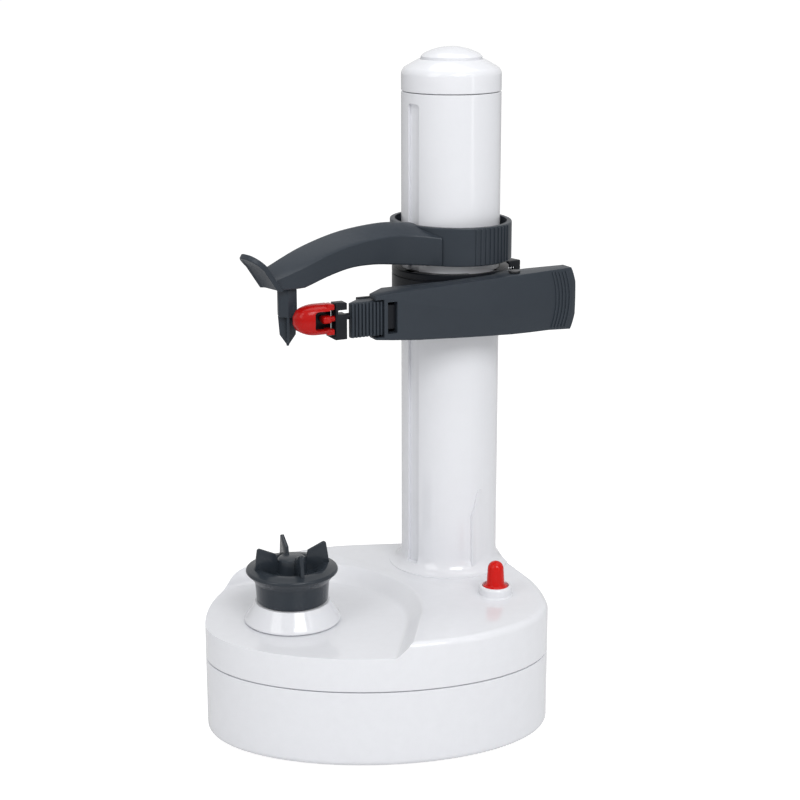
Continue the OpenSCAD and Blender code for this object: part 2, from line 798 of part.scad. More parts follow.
module gearbox_plate() {
    color(cream) difference() {
        translate([0, 0, plate_z]) linear_extrude(plate_t) hull() {
            translate(spindle_at) circle(r = spindle_pad_r);
            translate(screw_at) circle(r = screw_pad_r);
            translate(idler_at) circle(r = idler_pad_r);
            translate(motor_at) circle(r = motor_r + 1);
        }
        translate([spindle_x, spindle_y, 0]) cylinder(r = shaft_r + fit, h = deck_z);
        translate([motor_at[0], motor_at[1], 0]) cylinder(r = motor_nose_r + fit, h = deck_z);
        cylinder(r = bush_r + 0.02, h = deck_z);
        at_each([idler_at, cluster_at]) translate([0, 0, plate_z - 1])
            cylinder(r = axle_r + 0.02, h = plate_t + 2);
        at_each(plate_post_at) cylinder(r = screw_shank_r + 0.2, h = deck_z);
    }
}

module plate_screws() {
    color(steel) at_each(plate_post_at) translate([0, 0, plate_z + plate_t + 1.1])
        mirror([0, 0, 1]) screw_up(screw_shank_r, 2.6, 1.1, 8.6);
}

module motor() {
    color(steel) translate([motor_at[0], motor_at[1], plate_z]) difference() {
        union() {
            translate([0, 0, -motor_len]) intersection() {
                cylinder(r = motor_r, h = motor_len);
                translate([-motor_r, -motor_flat / 2, 0]) cube([2 * motor_r, motor_flat, motor_len]);
            }
            cylinder(r = motor_nose_r, h = 1.6);
        }
        translate([0, 0, -4]) cylinder(r = motor_shaft_r + fit, h = 8);
    }
}

module motor_shaft() {
    color(steel) translate([motor_at[0], motor_at[1], plate_z - 3.9])
        cylinder(r = motor_shaft_r, h = motor_gear_z + motor_gear_h + 0.8 - plate_z + 3.9);
}

module motor_pinion() {
    color(brass) translate([motor_at[0], motor_at[1], motor_gear_z]) rotate(motor_turn)
        gear(pinion_teeth, motor_module, motor_gear_h, motor_shaft_r + 0.02);
}

module cluster_gear() {
    color(cream) translate([cluster_at[0], cluster_at[1], 0]) rotate(cluster_turn) {
        translate([0, 0, motor_gear_z]) gear(wheel_teeth, motor_module, motor_gear_h, axle_r + fit);
        translate([0, 0, motor_gear_z + motor_gear_h - eps]) difference() {
            linear_extrude(main_gear_z + main_gear_h + 0.4 - motor_gear_z - motor_gear_h)
                polygon(gear_outline(pinion_teeth, main_module));
            translate([0, 0, -1]) cylinder(r = axle_r + fit, h = 12);
        }
    }
}

module idler_gear() {
    color(cream) translate([idler_at[0], idler_at[1], main_gear_z]) rotate(idler_turn) {
        gear(idler_teeth, main_module, main_gear_h, axle_r + fit);
        // Hub that keeps the gear at its height above the plate
        translate([0, 0, plate_z + plate_t + 0.2 - main_gear_z]) difference() {
            cylinder(r = 4, h = main_gear_z - plate_z - plate_t - 0.2 + eps);
            translate([0, 0, -1]) cylinder(r = axle_r + fit, h = 12);
        }
    }
}

module gear_axles() {
    color(steel) at_each([idler_at, cluster_at]) translate([0, 0, plate_z])
        cylinder(r = axle_r, h = dish_ceiling_z - plate_z);
}

// ---------- Spindle ----------

module spindle_shaft() {
    color(steel) translate([spindle_x, spindle_y, 0]) {
        translate([0, 0, plate_z - 0.6])
            cylinder(r = shaft_r, h = skirt_z + 3 - plate_z + 0.6);
        translate([-drive_square / 2, -drive_square / 2, skirt_z + 3 - eps])
            cube([drive_square, drive_square, holder_z + 5 - skirt_z - 3]);
    }
}

module spindle_gear() {
    color(cream) translate([spindle_x, spindle_y, main_gear_z])
        gear(spindle_teeth, main_module, main_gear_h, shaft_r + 0.02);
}

module spindle_bush() {
    color(brass) translate([spindle_x, spindle_y, bush_z]) difference() {
        cylinder(r = bush_r, h = dish_z - bush_z);
        translate([0, 0, -1]) cylinder(r = shaft_r + fit, h = dish_z);
    }
}

module spindle_skirt() {
    color(white) translate([spindle_x, spindle_y, skirt_z]) difference() {
        rotate_extrude() polygon([
            [3, 0], [8, 0], [8, 5], [skirt_r - 3.4, 5], [skirt_r - 1.8, 0], [skirt_r, 0],
            [skirt_r, 0.8], [cup_r + 0.6, holder_z - skirt_z - 0.2],
            [3, holder_z - skirt_z - 0.2]
        ]);
        translate([0, 0, -1]) cylinder(r = shaft_r + 0.02, h = 4 + eps);
        translate([-drive_square / 2 - 0.05, -drive_square / 2 - 0.05, 0])
            cube([drive_square + 0.1, drive_square + 0.1, 20]);
    }
}

module food_holder() {
    cup_h = flange_z - holder_z;
    color(slate) translate([spindle_x, spindle_y, holder_z]) difference() {
        union() {
            rotate_extrude() polygon([
                [0, 0], [cup_r - 1, 0], [cup_r, 1.2], [cup_r + 0.5, cup_h - 4.6],
                [cup_r + 1.3, cup_h - 3.2], [flange_r - 0.5, cup_h - 0.5], [flange_r, cup_h + 0.2],
                [flange_r - 0.3, cup_h + 1], [cup_r - 1, cup_h + 2.4], [9.4, cup_h - 0.6],
                [6.6, cup_h - 0.6], [6, cup_h + 5], [4.8, cup_h + 6], [0, cup_h + 6]
            ]);
            // Four fins, highest near the rim
            for (a = [20 : 90 : 290]) rotate(a) translate([0, 0.8, cup_h - 1]) rotate([90, 0, 0])
                linear_extrude(1.6)
                    polygon([[5, 0], [17.4, 0], [15.6, fin_h + 1], [14.6, fin_h + 1.4], [7.4, fin_h - 1.8]]);
        }
        translate([-drive_square / 2 - 0.05, -drive_square / 2 - 0.05, -1])
            cube([drive_square + 0.1, drive_square + 0.1, 6.4]);
    }
}

// ---------- Column and lead screw ----------

module screw_gear() {
    color(cream) translate([0, 0, main_gear_z]) rotate(screw_gear_turn) {
        gear(screw_teeth, main_module, main_gear_h, journal_r + 0.02);
        translate([0, 0, plate_z + plate_t + 1.4 - main_gear_z]) difference() {
            cylinder(r = 5.4, h = main_gear_z - plate_z - plate_t - 1.4 + eps);
            translate([0, 0, -1]) cylinder(r = journal_r + 0.02, h = 12);
        }
    }
}

// Thread with the form of a circle that winds round the axis, from height z0 to z1
module thread(z0, z1, grow = 0) {
    turns = (z1 - z0) / screw_pitch;
    rotate(360 * (z0 - thread_z0) / screw_pitch) translate([0, 0, z0])
        linear_extrude(z1 - z0, twist = -360 * turns, slices = round(turns * steps_per_turn),
                       $fn = thread_sides)
            translate([thread_depth, 0]) circle(r = screw_r + grow);
}

module lead_screw() {
    color(steel) {
        translate([0, 0, plate_z - 0.6])
            cylinder(r = journal_r, h = main_gear_z + main_gear_h - plate_z + 0.6);
        translate([0, 0, main_gear_z + main_gear_h - eps])
            cylinder(r = journal_r, h = 0.2);
        translate([0, 0, main_gear_z + main_gear_h + 0.1])
            cylinder(r = screw_core_r, h = thread_z0 - main_gear_z - main_gear_h - 0.1 + eps);
        thread(thread_z0, thread_z1);
        translate([0, 0, thread_z1 - eps])
            cylinder(r = screw_core_r, h = upper_bush_z - 0.4 - thread_z1 + eps);
        translate([0, 0, upper_bush_z - 0.4 - eps])
            cylinder(r = journal_r, h = screw_end_z - upper_bush_z + 0.4);
    }
}

module screw_lower_bush() {
    color(brass) difference() {
        union() {
            translate([0, 0, plate_z]) cylinder(r = bush_r, h = plate_t);
            translate([0, 0, plate_z + plate_t]) cylinder(r = bush_r + 1.4, h = 1.2);
        }
        cylinder(r = journal_r + fit, h = deck_z);
    }
}

module screw_upper_bush() {
    color(brass) translate([0, 0, upper_bush_z]) difference() {
        cylinder(r = bush_r, h = upper_bush_h);
        translate([0, 0, -1]) cylinder(r = journal_r + fit, h = 9);
    }
}

// Front mask of the ramp: a tall pad with a slanted top corner
module ramp_mask() {
    rotate(ramp_angle) translate([12, 0, 0]) rotate([90, 0, 90]) linear_extrude(16)
        polygon([[-4.4, deck_z + 1], [-4.4, ramp_top_z - 12], [-1, ramp_top_z],
                 [6, ramp_top_z], [6, deck_z + 1]]);
}

module column_tube() {
    color(white) difference() {
        union() {
            translate([0, 0, deck_z]) cylinder(r = col_r, h = seam_z - deck_z, $fn = 120);
            // Flared foot, cut flush with the back of the base
            intersection() {
                rotate_extrude($fn = 120) polygon(concat(
                    [[col_r - 1, deck_z], [foot_r, deck_z]],
                    [for (a = [90 : -15 : 0])
                        [col_r + flare * (1 - cos(a)), deck_z + 0.8 + (flare + 1) * (1 - sin(a))]],
                    [[col_r - 1, deck_z + flare + 1.8]]
                ));
                translate([0, 0, deck_z - 1]) linear_extrude(flare + 4) base_outline(edge_r / 2);
            }
            // Ramp low on the right, which fades into the column on one side
            intersection() {
                translate([ramp_shift * cos(ramp_shift_dir), ramp_shift * sin(ramp_shift_dir), deck_z])
                    cylinder(r = col_r, h = seam_z - deck_z, $fn = 120);
                ramp_mask();
            }
        }
        difference() {
            translate([0, 0, deck_z - 1]) cylinder(r = col_inner_r, h = seam_z - deck_z + 2);
            // Rail behind the guide groove
            rotate(spindle_dir) translate([col_inner_r - rail_t, -rail_w / 2, deck_z])
                cube([rail_t + 3, rail_w, seam_z - spigot_h - deck_z - 1]);
            // Screw bosses
            at_each(column_screw_at) translate([0, 0, deck_z - eps])
                cylinder(r = col_boss_r, h = col_boss_h);
        }
        rotate(spindle_dir) translate([col_r - groove_d, -groove_w / 2, groove_z0])
            cube([groove_d + 8, groove_w, groove_z1 - groove_z0]);
        rotate(spindle_dir + 180) translate([10, -slot_w / 2, slot_z0])
            cube([20, slot_w, slot_z1 - slot_z0]);
        at_each(column_screw_at) translate([0, 0, deck_z - 1])
            cylinder(r = screw_shank_r + fit, h = col_boss_h - 1);
    }
}

module column_screws() {
    color(steel) at_each(column_screw_at) translate([0, 0, deck_ceiling_z - 1.4])
        screw_up(screw_shank_r, 2.6, 1.4, base_wall + 9);
}

module column_cap() {
    arc_r = 4;
    slope_z = seam_z + seam_gap + cap_side_h;
    spigot_r = col_inner_r - 0.15;
    cavity_r = spigot_r - 1.5;
    boss_h = cap_top_z - 5 - upper_bush_z;
    color(white) difference() {
        union() {
            difference() {
                rotate_extrude($fn = 120) polygon(concat(
                    [[0, seam_z - spigot_h], [spigot_r, seam_z - spigot_h],
                     [spigot_r, seam_z + seam_gap], [col_r, seam_z + seam_gap]],
                    [for (a = [0 : 15 : 60])
                        [col_r - arc_r + arc_r * cos(a), slope_z + arc_r * sin(a)]],
                    [[cap_top_r, cap_top_z], [0, cap_top_z]]
                ));
                translate([0, 0, seam_z - spigot_h - 1]) cylinder(r = cavity_r, h = spigot_h + 9);
            }
            // Seat of the upper bush
            translate([0, 0, upper_bush_z]) cylinder(r = bush_r + 2, h = boss_h);
        }
        translate([0, 0, upper_bush_z - 1]) cylinder(r = bush_r + 0.02, h = upper_bush_h + 1);
        translate([0, 0, upper_bush_z]) cylinder(r = journal_r + 0.6, h = 10);
        translate([0, 0, cap_top_z - 1.2]) cylinder(r = crown_r + 0.15, h = 2);
        translate([0, 0, cap_top_z - 4.8]) cylinder(r = crown_peg_r + fit, h = 6);
    }
}

module cap_crown() {
    rim_h = 1.6;
    dome_h = crown_h - rim_h;
    dome_r = (pow(crown_r, 2) + pow(dome_h, 2)) / (2 * dome_h);
    half_angle = asin(crown_r / dome_r);
    color(white) {
        translate([0, 0, cap_top_z - 1.2]) rotate_extrude() polygon(concat(
            [[0, 0], [crown_r, 0]],
            [for (k = [8 : -1 : 0])
                [dome_r * sin(half_angle * k / 8),
                 1.2 + rim_h + dome_h - dome_r * (1 - cos(half_angle * k / 8))]]
        ));
        translate([0, 0, cap_top_z - 4.7]) cylinder(r = crown_peg_r, h = 4);
    }
}

// ---------- Start button ----------

module start_button() {
    color(red) translate([button_x, button_y, 0]) rotate_extrude() polygon(concat(
        [[0, button_stem_z], [button_stem_r, button_stem_z], [button_barb_r, button_stem_z + 1],
         [button_barb_r, button_well_z - 0.1], [button_stem_r, button_well_z - 0.1],
         [button_stem_r, flange_top_z - 1.4],
         [button_flange_r, flange_top_z - 1.4], [button_flange_r, flange_top_z - 0.3],
         [button_r + 0.4, flange_top_z], [button_r, flange_top_z + 1]],
        [for (a = [0 : 15 : 90])
            [(button_r - 0.3) * cos(a), flange_top_z + button_h - button_r + button_r * sin(a)]]
    ));
}

module button_spring() {
    color(steel) translate([button_x, button_y, button_spring_z0])
        coil(3.4, 3.4, 0.35, button_spring_h, 5);
}

module start_switch() {
    color(black) translate([button_x, button_y, switch_z]) {
        translate([-switch_len / 2, -switch_w / 2, 0]) cube([switch_len, switch_w, switch_h]);
        cylinder(r = 1.4, h = switch_h + switch_nub_h);
        color(brass) for (x = [-4.5, 0, 4.5])
            translate([x - 0.6, -0.25, -3.4]) cube([1.2, 0.5, 3.4 + eps]);
    }
}

// ---------- Carriage ----------

module carriage() {
    color(black) difference() {
        union() {
            translate([0, 0, carriage_z]) cylinder(r = carriage_r, h = carriage_h, $fn = 120);
            // Lug that carries the blade arm's pivot
            rotate(blade_arm_angle) {
                translate([-pivot_back, pivot_out, blade_arm_z - lug_h / 2])
                    cylinder(r = lug_r, h = lug_h);
                translate([-pivot_back - lug_r, 16, blade_arm_z - lug_h / 2])
                    cube([2 * lug_r, pivot_out - 16, lug_h]);
            }
        }
        translate([0, 0, carriage_z - 1])
            cylinder(r = ring_in_r, h = carriage_h + 2, $fn = 120);
        // Relief that lets the carriage pass the ramp
        rotate(ramp_angle + 2) translate([12, -8, carriage_z - 1])
            intersection() {
                cube([col_r + 2.2 - 12, 16, carriage_h + 2]);
                translate([-12, 8, 0]) cylinder(r = col_r + 2.2, h = carriage_h + 2);
            }
        // Window for the nut's stem
        rotate(spindle_dir + 180) translate([10, -stem_w / 2 - play, nut_z + nut_h / 2 - stem_h / 2 - play])
            cube([30, stem_w + 2 * play, stem_h + 2 * play]);
        rotate(blade_arm_angle) translate([-pivot_back, pivot_out, carriage_z])
            cylinder(r = pivot_pin_r + 0.02, h = carriage_h + 1);
        // Seats of the release springs
        rotate(spindle_dir + 180) translate([-release_travel - 0.2, 0, 0]) at_release_springs()
            cylinder(r = release_spring_r + 0.2, h = 6);
    }
    // Key in the column's groove
    color(black) rotate(spindle_dir)
        translate([col_r - groove_d + slide_clear, -groove_w / 2 + slide_clear, carriage_z])
            cube([carriage_r - col_r + groove_d - slide_clear - 1,
                  groove_w - 2 * slide_clear, carriage_h]);
}

// Nut round the screw: threaded on the spindle's side, with room to move off it on the other
module drive_nut() {
    color(brass) rotate(spindle_dir + 180) difference() {
        union() {
            translate([-9, -nut_w / 2, nut_z]) cube([nut_len, nut_w, nut_h]);
            translate([9, -stem_w / 2, nut_z + nut_h / 2 - stem_h / 2])
                cube([stem_end - 9, stem_w, stem_h]);
        }
        release_slot();
        rotate(-spindle_dir - 180) thread(nut_thread_z0, nut_thread_z1, nut_clear);
    }
}

// Clear way past the screw when the nut is pushed off its thread
module release_slot() {
    translate([nut_bite, 0, nut_z - 1]) cylinder(r = nut_free_r, h = nut_h + 2);
    translate([nut_bite + release_travel, 0, nut_z - 1]) cylinder(r = nut_free_r, h = nut_h + 2);
    translate([nut_bite, -nut_free_r, nut_z - 1])
        cube([release_travel, 2 * nut_free_r, nut_h + 2]);
}

module release_tab() {
    color(black) rotate(spindle_dir + 180) difference() {
        translate([carriage_r + release_travel + 0.3, -tab_w / 2, tab_z])
            cube([tab_len, tab_w, tab_h]);
        translate([carriage_r, -stem_w / 2 - 0.02, nut_z + nut_h / 2 - stem_h / 2 - 0.02])
            cube([stem_end - carriage_r + 0.02, stem_w + 0.04, stem_h + 0.04]);
        at_release_springs() cylinder(r = release_spring_r + 0.2, h = release_spring_len);
    }
}

// Puts children at both springs of the tab, their axis Z along the tab's travel
module at_release_springs() {
    for (side = [-1, 1])
        translate([carriage_r + 0.1, side * release_spring_y, tab_z + tab_h - release_spring_drop])
            rotate([0, 90, 0]) children();
}

module release_springs() {
    color(steel) rotate(spindle_dir + 180) at_release_springs()
        coil(release_spring_r - 0.25, release_spring_r - 0.25, 0.25, release_spring_len, 4);
}

// ---------- Blade arm ----------

// Puts children in the blade arm's frame, with the pivot as origin in plan
module on_arm() {
    rotate(blade_arm_angle) translate([-pivot_back, pivot_out, 0]) children();
}

module arm_pivot_pin() {
    color(steel) on_arm() {
        translate([0, 0, blade_arm_z - pin_half_len]) cylinder(r = pivot_pin_r, h = 2 * pin_half_len);
        translate([0, 0, blade_arm_z + pin_half_len - eps]) cylinder(r = pin_head_r, h = 0.8);
    }
}

module arm_spring() {
    color(steel) on_arm() translate([0, 0, blade_arm_z + lug_h / 2 + 0.05])
        coil(2.5, 2.5, 0.35, arm_half(3) - arm_wall - lug_h / 2 - 0.3, 3);
}

// Side view of the arm, thickening to a bowed thumb end
module arm_side(inset) {
    end = blade_reach - inset;
    polygon(concat(
        [[end, -arm_half(end) + inset], [end, arm_half(end) - inset]],
        [for (k = [6 : -1 : -6])
            [-thumb_reach + inset + thumb_bulge * pow(k / 6, 2), (thumb_end_h / 2 - inset) * k / 6]],
        [for (x = [-thumb_reach / 2, 4, 50]) [x, -arm_half(x) - (x > 0 ? arm_belly : 0) + inset]]
    ));
}

// Top view of the arm, with an ear round the pivot
module arm_plan(inset) {
    polygon([
        [blade_reach - arm_end_cut - inset, arm_back_blade + inset],
        [blade_reach - inset, -1], [blade_reach - inset, arm_front - inset],
        [-thumb_reach + 2 + inset, arm_front - inset], [-thumb_reach + inset, arm_front - 2 - inset],
        [-thumb_reach + inset, arm_back_thumb + inset], [-9, 1.2 - ear_r + inset],
        [4, 0.6 - ear_r + inset], [10, arm_back_mid + 0.9 + inset], [arm_mid_x, arm_back_mid + inset]
    ]);
    circle(r = ear_r - inset);
}

module arm_solid(inset) {
    intersection() {
        linear_extrude(400) arm_plan(inset);
        translate([0, cut_depth, blade_arm_z]) rotate([90, 0, 0]) linear_extrude(2 * cut_depth)
            arm_side(inset);
    }
}

module thumb_rib(x) {
    half = thumb_end_h / 2 - 1.4;
    intersection() {
        translate([x + thumb_rib_r, arm_front + 0.4, blade_arm_z]) rotate([90, 0, 0]) difference() {
            cylinder(r = thumb_rib_r, h = 0.8);
            translate([0, 0, -1]) cylinder(r = thumb_rib_r - thumb_rib_w, h = 3);
        }
        translate([x - 1, arm_front - 1, blade_arm_z - half]) cube([6, 3, 2 * half]);
    }
}

module peel_arm() {
    grip_ribs_n = 5;
    color(slate) on_arm() difference() {
        union() {
            arm_solid(0);
            // Thumb ribs on the front, bowed like the arm's end
            for (i = [1 : grip_ribs_n]) thumb_rib(-thumb_reach + 1.8 + i * thumb_rib_pitch);
        }
        // Hollow, open at the back
        intersection() {
            translate([-14, -30, 0]) cube([fork_x - bulkhead + 14, 30 + arm_front - arm_wall, 400]);
            translate([0, cut_depth, blade_arm_z]) rotate([90, 0, 0]) linear_extrude(2 * cut_depth)
                arm_side(arm_wall);
        }
        // Window beside the blade end
        translate([fork_x - bulkhead - window_w, arm_front - arm_wall - 1, grip_z - window_h / 2])
            cube([window_w, arm_wall + 2, window_h]);
        // Fork that the grip block sits in
        translate([fork_x, -20, grip_z - fork_h / 2]) cube([fork_len + 1, 40, fork_h]);
        // Mouth that takes the blade holder's tongue
        translate([fork_x - bulkhead - 1, -tongue_t / 2 - fit, grip_z - tongue_h / 2 - fit])
            cube([bulkhead + 2, tongue_t + 2 * fit, tongue_h + 2 * fit]);
        cylinder(r = pivot_pin_r + fit, h = 400);
        // Chamfer on the upper back corner of the blade end
        translate([blade_reach, arm_back_blade, blade_arm_z + blade_end_h / 2]) rotate([0, 45, 0])
            cube([2, 60, 2], center = true);
    }
}

// Part of the yoke between two heights from the swivel's axis
module yoke_block(z0, z1, len) {
    translate([yoke_x, swivel_y - 3.6, swivel_z + z0]) cube([len, yoke_w, z1 - z0]);
}

module blade_holder() {
    rib_pitch = grip_block_len / grip_ribs;
    color(black) on_arm() {
        // Tongue in the arm's mouth
        translate([block_x - tongue_len, -tongue_t / 2, grip_z - tongue_h / 2])
            cube([tongue_len + eps, tongue_t, tongue_h]);
        translate([0, 0, grip_z - grip_block_h / 2]) linear_extrude(grip_block_h) polygon([
            [block_x, block_y0], [block_x + grip_block_len - block_cut, block_y0],
            [block_x + grip_block_len, 1.6], [block_x + grip_block_len, block_y1 - 0.9],
            [block_x, block_y1 - 0.9]
        ]);
        for (i = [0 : grip_ribs - 1])
            translate([block_x + (i + 0.2) * rib_pitch, block_y1 - 1, grip_z - grip_block_h / 2])
                cube([rib_pitch * 0.6, 1, grip_block_h]);
        // Taller clip behind the ribbed face
        translate([block_x, block_y0 - 2.8, grip_z - grip_block_h / 2 - clip_over])
            cube([clip_len, 2.9, grip_block_h + 2 * clip_over]);
        // Neck, hub and the two prongs that limit the cartridge's swing
        translate([block_x + grip_block_len - eps, swivel_y - 2, swivel_z]) rotate([0, 90, 0])
            cylinder(r = neck_r, h = neck_len + 2 * eps);
        difference() {
            union() {
                yoke_block(-1.8, 1.8, yoke_len);
                yoke_block(-yoke_low, yoke_high, 2.2);
                yoke_block(yoke_high - 3, yoke_high, yoke_len);
                yoke_block(-yoke_low, -1.7, yoke_len);
                // Toe below the cartridge
                translate([yoke_x + yoke_len - eps, swivel_y - 3.6 + yoke_w, swivel_z - yoke_low])
                    rotate([90, 0, 0]) linear_extrude(yoke_w) polygon([[0, 0], [2.6, 1.5], [0, 1.5]]);
            }
            translate([yoke_x + yoke_len - 3.4 - eps, swivel_y, swivel_z]) rotate([0, 90, 0])
                cylinder(r = swivel_pin_r + fit, h = 6);
        }
    }
}

// Red guard: a half-barrel with a round nose, open towards the holder
module blade_cartridge() {
    body_x = prong_end + 0.2;
    nose = cartridge_h / 2 - 1.5;
    flat_len = cartridge_len - nose;
    color(red) on_arm() difference() {
        union() {
            translate([body_x, swivel_y - cartridge_t / 2, swivel_z - cartridge_h / 2])
                cube([flat_len, cartridge_t - 3, cartridge_h]);
            // Bulging front and nose
            intersection() {
                translate([body_x, swivel_y - cartridge_t / 2, swivel_z - cartridge_h / 2])
                    cube([cartridge_len, cartridge_t, cartridge_h]);
                translate([body_x, swivel_y - cartridge_t / 2 + 0.6, swivel_z]) rotate([0, 90, 0])
                    cylinder(r = cartridge_t - 0.6, h = cartridge_len);
                translate([body_x + flat_len - nose, swivel_y + 10, swivel_z]) rotate([90, 0, 0])
                    cylinder(r = 2 * nose, h = 30);
            }
        }
        // Slot behind the blade and the open middle
        translate([body_x + 2.4, swivel_y - cartridge_t / 2 - 1, swivel_z - cartridge_h / 2 + 2.4])
            cube([flat_len - 1.6, cartridge_t - 1, cartridge_h - 4.8]);
        translate([body_x - 1, swivel_y - 1.9, swivel_z - cartridge_h / 2 + 2.4])
            cube([mouth_len + 1, 3.8 + cartridge_t, cartridge_h - 4.8]);
    }
    // Tongue that turns in the holder's hub
    color(red) on_arm() {
        translate([yoke_x + yoke_len - 3.3, swivel_y, swivel_z]) rotate([0, 90, 0])
            cylinder(r = swivel_pin_r, h = 6.2);
        translate([body_x + 0.9, swivel_y - 1.6, swivel_z - 1.6])
            cube([flat_len + 1, cartridge_t / 2, 3.2]);
    }
}

// Steel blade across the cartridge's back, with a cutting slot
module peeler_blade() {
    body_x = prong_end + 0.2;
    nose = cartridge_h / 2 - 1.5;
    flat_len = cartridge_len - nose;
    color(steel) on_arm() difference() {
        translate([body_x + 0.6, swivel_y - cartridge_t / 2 - blade_t, swivel_z - cartridge_h / 2 + 0.4])
            cube([flat_len - 0.2, blade_t, cartridge_h - 0.8]);
        translate([body_x + 3, swivel_y - cartridge_t / 2 - 2, swivel_z - cartridge_h / 2 + 2.8])
            cube([1.4, 4, cartridge_h - 5.6]);
    }
}

// ---------- Upper arm ----------

module on_spindle_side() {
    rotate(spindle_dir) children();
}

// Cross-section of the arm at one station
module arm_section(s) {
    w = s[4];
    translate([s[0], 0, 0]) rotate([90, 0, 90]) linear_extrude(eps) polygon([
        [-w, s[1]], [w, s[1]], [w, s[2]], [w * 0.62, s[3] - 1], [w * 0.2, s[3]],
        [-w * 0.2, s[3]], [-w * 0.62, s[3] - 1], [-w, s[2]]
    ]);
}

module squeeze_ribs() {
    rib_n = 9;
    for (side = [90, -90], i = [0 : rib_n - 1]) {
        a = side + (i - (rib_n - 1) / 2) * 5.2;
        translate([collar_half_b * cos(a), collar_half_a * sin(a), collar_z]) rotate(a)
            translate([-0.8, -0.45, 0]) cube([1.3, 0.9, collar_ring_h]);
    }
}

// Upturned thumb paddle, bowed over towards its round end
module thumb_paddle() {
    round_x = paddle_end_x - paddle_end_r;
    intersection() {
        translate([arm_end_x + 0.5, paddle_half_w + 1, arm_tip_z]) rotate([90, 0, 0])
            translate([paddle_bow_r * sin(60), -paddle_bow_r * cos(60), 0]) difference() {
                cylinder(r = paddle_bow_r + paddle_t / 2, h = 2 * paddle_half_w + 2, $fn = 160);
                translate([0, 0, -1])
                    cylinder(r = paddle_bow_r - paddle_t / 2, h = 2 * paddle_half_w + 4, $fn = 160);
            }
        translate([0, 0, arm_tip_z]) linear_extrude(30) {
            translate([arm_end_x - 6, -paddle_half_w])
                square([round_x - arm_end_x + 6, 2 * paddle_half_w]);
            translate([round_x - eps, paddle_end_r - paddle_half_w])
                square([paddle_end_r + eps, 2 * (paddle_half_w - paddle_end_r)]);
            for (side = [-1, 1])
                translate([round_x, side * (paddle_half_w - paddle_end_r)])
                    circle(r = paddle_end_r);
        }
    }
}

module upper_arm() {
    last = len(upper_stations) - 1;
    color(slate) on_spindle_side() difference() {
        union() {
            translate([0, 0, collar_z]) linear_extrude(collar_ring_h)
                polygon(ellipse(collar_half_b, collar_half_a));
            squeeze_ribs();
            difference() {
                for (i = [0 : last - 1]) hull() {
                    arm_section(upper_stations[i]);
                    arm_section(upper_stations[i + 1]);
                }
                // End face that leans out towards its top
                translate([arm_end_x, -20, arm_tip_z]) rotate([0, arm_end_tilt, 0])
                    translate([0, 0, -10]) cube([20, 40, 40]);
            }
            thumb_paddle();
        }
        translate([0, 0, collar_z - 1]) linear_extrude(collar_ring_h + 8)
            polygon(ellipse(collar_half_b - collar_wall, collar_half_a - collar_wall));
        translate([spindle_dist, 0, arm_tip_z - 3])
            cylinder(r = top_stem_r + fit, h = top_stem_len + 3.2);
    }
}

// Rubber pads that grip the column on the arm's line
module collar_pads() {
    pad_w = 12;
    color(black) on_spindle_side() for (a = [0, 180]) rotate(a)
        intersection() {
            difference() {
                translate([0, 0, collar_z + 1]) linear_extrude(collar_ring_h - 2)
                    polygon(ellipse(collar_half_b - collar_wall, collar_half_a - collar_wall));
                cylinder(r = ring_in_r, h = 400, $fn = 120);
            }
            translate([0, -pad_w / 2, 0]) cube([60, pad_w, 400]);
        }
    // Key in the column's groove
    color(black) on_spindle_side()
        translate([col_r - groove_d + slide_clear, -groove_w / 2 + slide_clear, collar_z + 1])
            cube([groove_d + 0.8, groove_w - 2 * slide_clear, collar_ring_h - 2]);
}

module top_holder() {
    shaft_top = arm_tip_z - washer_t;
    color(slate) translate([spindle_x, spindle_y, 0]) {
        translate([0, 0, shaft_top - eps]) cylinder(r = top_stem_r, h = top_stem_len + washer_t - 0.2);
        translate([0, 0, shaft_top - top_shaft_len]) rotate(10)
            cylinder(r = top_shaft_r, h = top_shaft_len, $fn = 6);
        for (a = [0, 90]) rotate(a + 10) translate([0, 0.6, shaft_top - top_shaft_len])
            rotate([90, 0, 0]) linear_extrude(1.2)
                polygon([[-4, eps], [4, eps], [3.4, -top_fin_len + 5], [0, -top_fin_len],
                         [-3.4, -top_fin_len + 5]]);
    }
}

module holder_washer() {
    color(steel) translate([spindle_x, spindle_y, arm_tip_z - washer_t + 0.02]) difference() {
        cylinder(r = 4, h = washer_t - 0.04);
        translate([0, 0, -1]) cylinder(r = top_stem_r + fit, h = 3);
    }
}

base_pan();
base_top();
rubber_feet();
base_screws();
battery_door();
door_screw();
battery_cells();
battery_springs();
contact_plates();
gearbox_plate();
plate_screws();
motor();
motor_shaft();
motor_pinion();
cluster_gear();
idler_gear();
gear_axles();
spindle_shaft();
spindle_gear();
spindle_bush();
spindle_skirt();
food_holder();
screw_gear();
lead_screw();
screw_lower_bush();
screw_upper_bush();
column_tube();
column_screws();
column_cap();
cap_crown();
start_button();
button_spring();
start_switch();
carriage();
drive_nut();
release_tab();
release_springs();
arm_pivot_pin();
arm_spring();
peel_arm();
blade_holder();
blade_cartridge();
peeler_blade();
upper_arm();
collar_pads();
top_holder();
holder_washer();
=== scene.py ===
"""Looks of an electric potato peeler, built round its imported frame.

Every piece is modelled in millimetres in the object's own frame and brought to metres when it is
done. The column stands on the Z axis, the table is Z = 0 and the front faces -Y.
"""

import logging
import math
from dataclasses import dataclass, field, replace
from enum import Enum
from typing import Callable, Iterable, Sequence

import bmesh
import bpy
from mathutils import Matrix, Vector


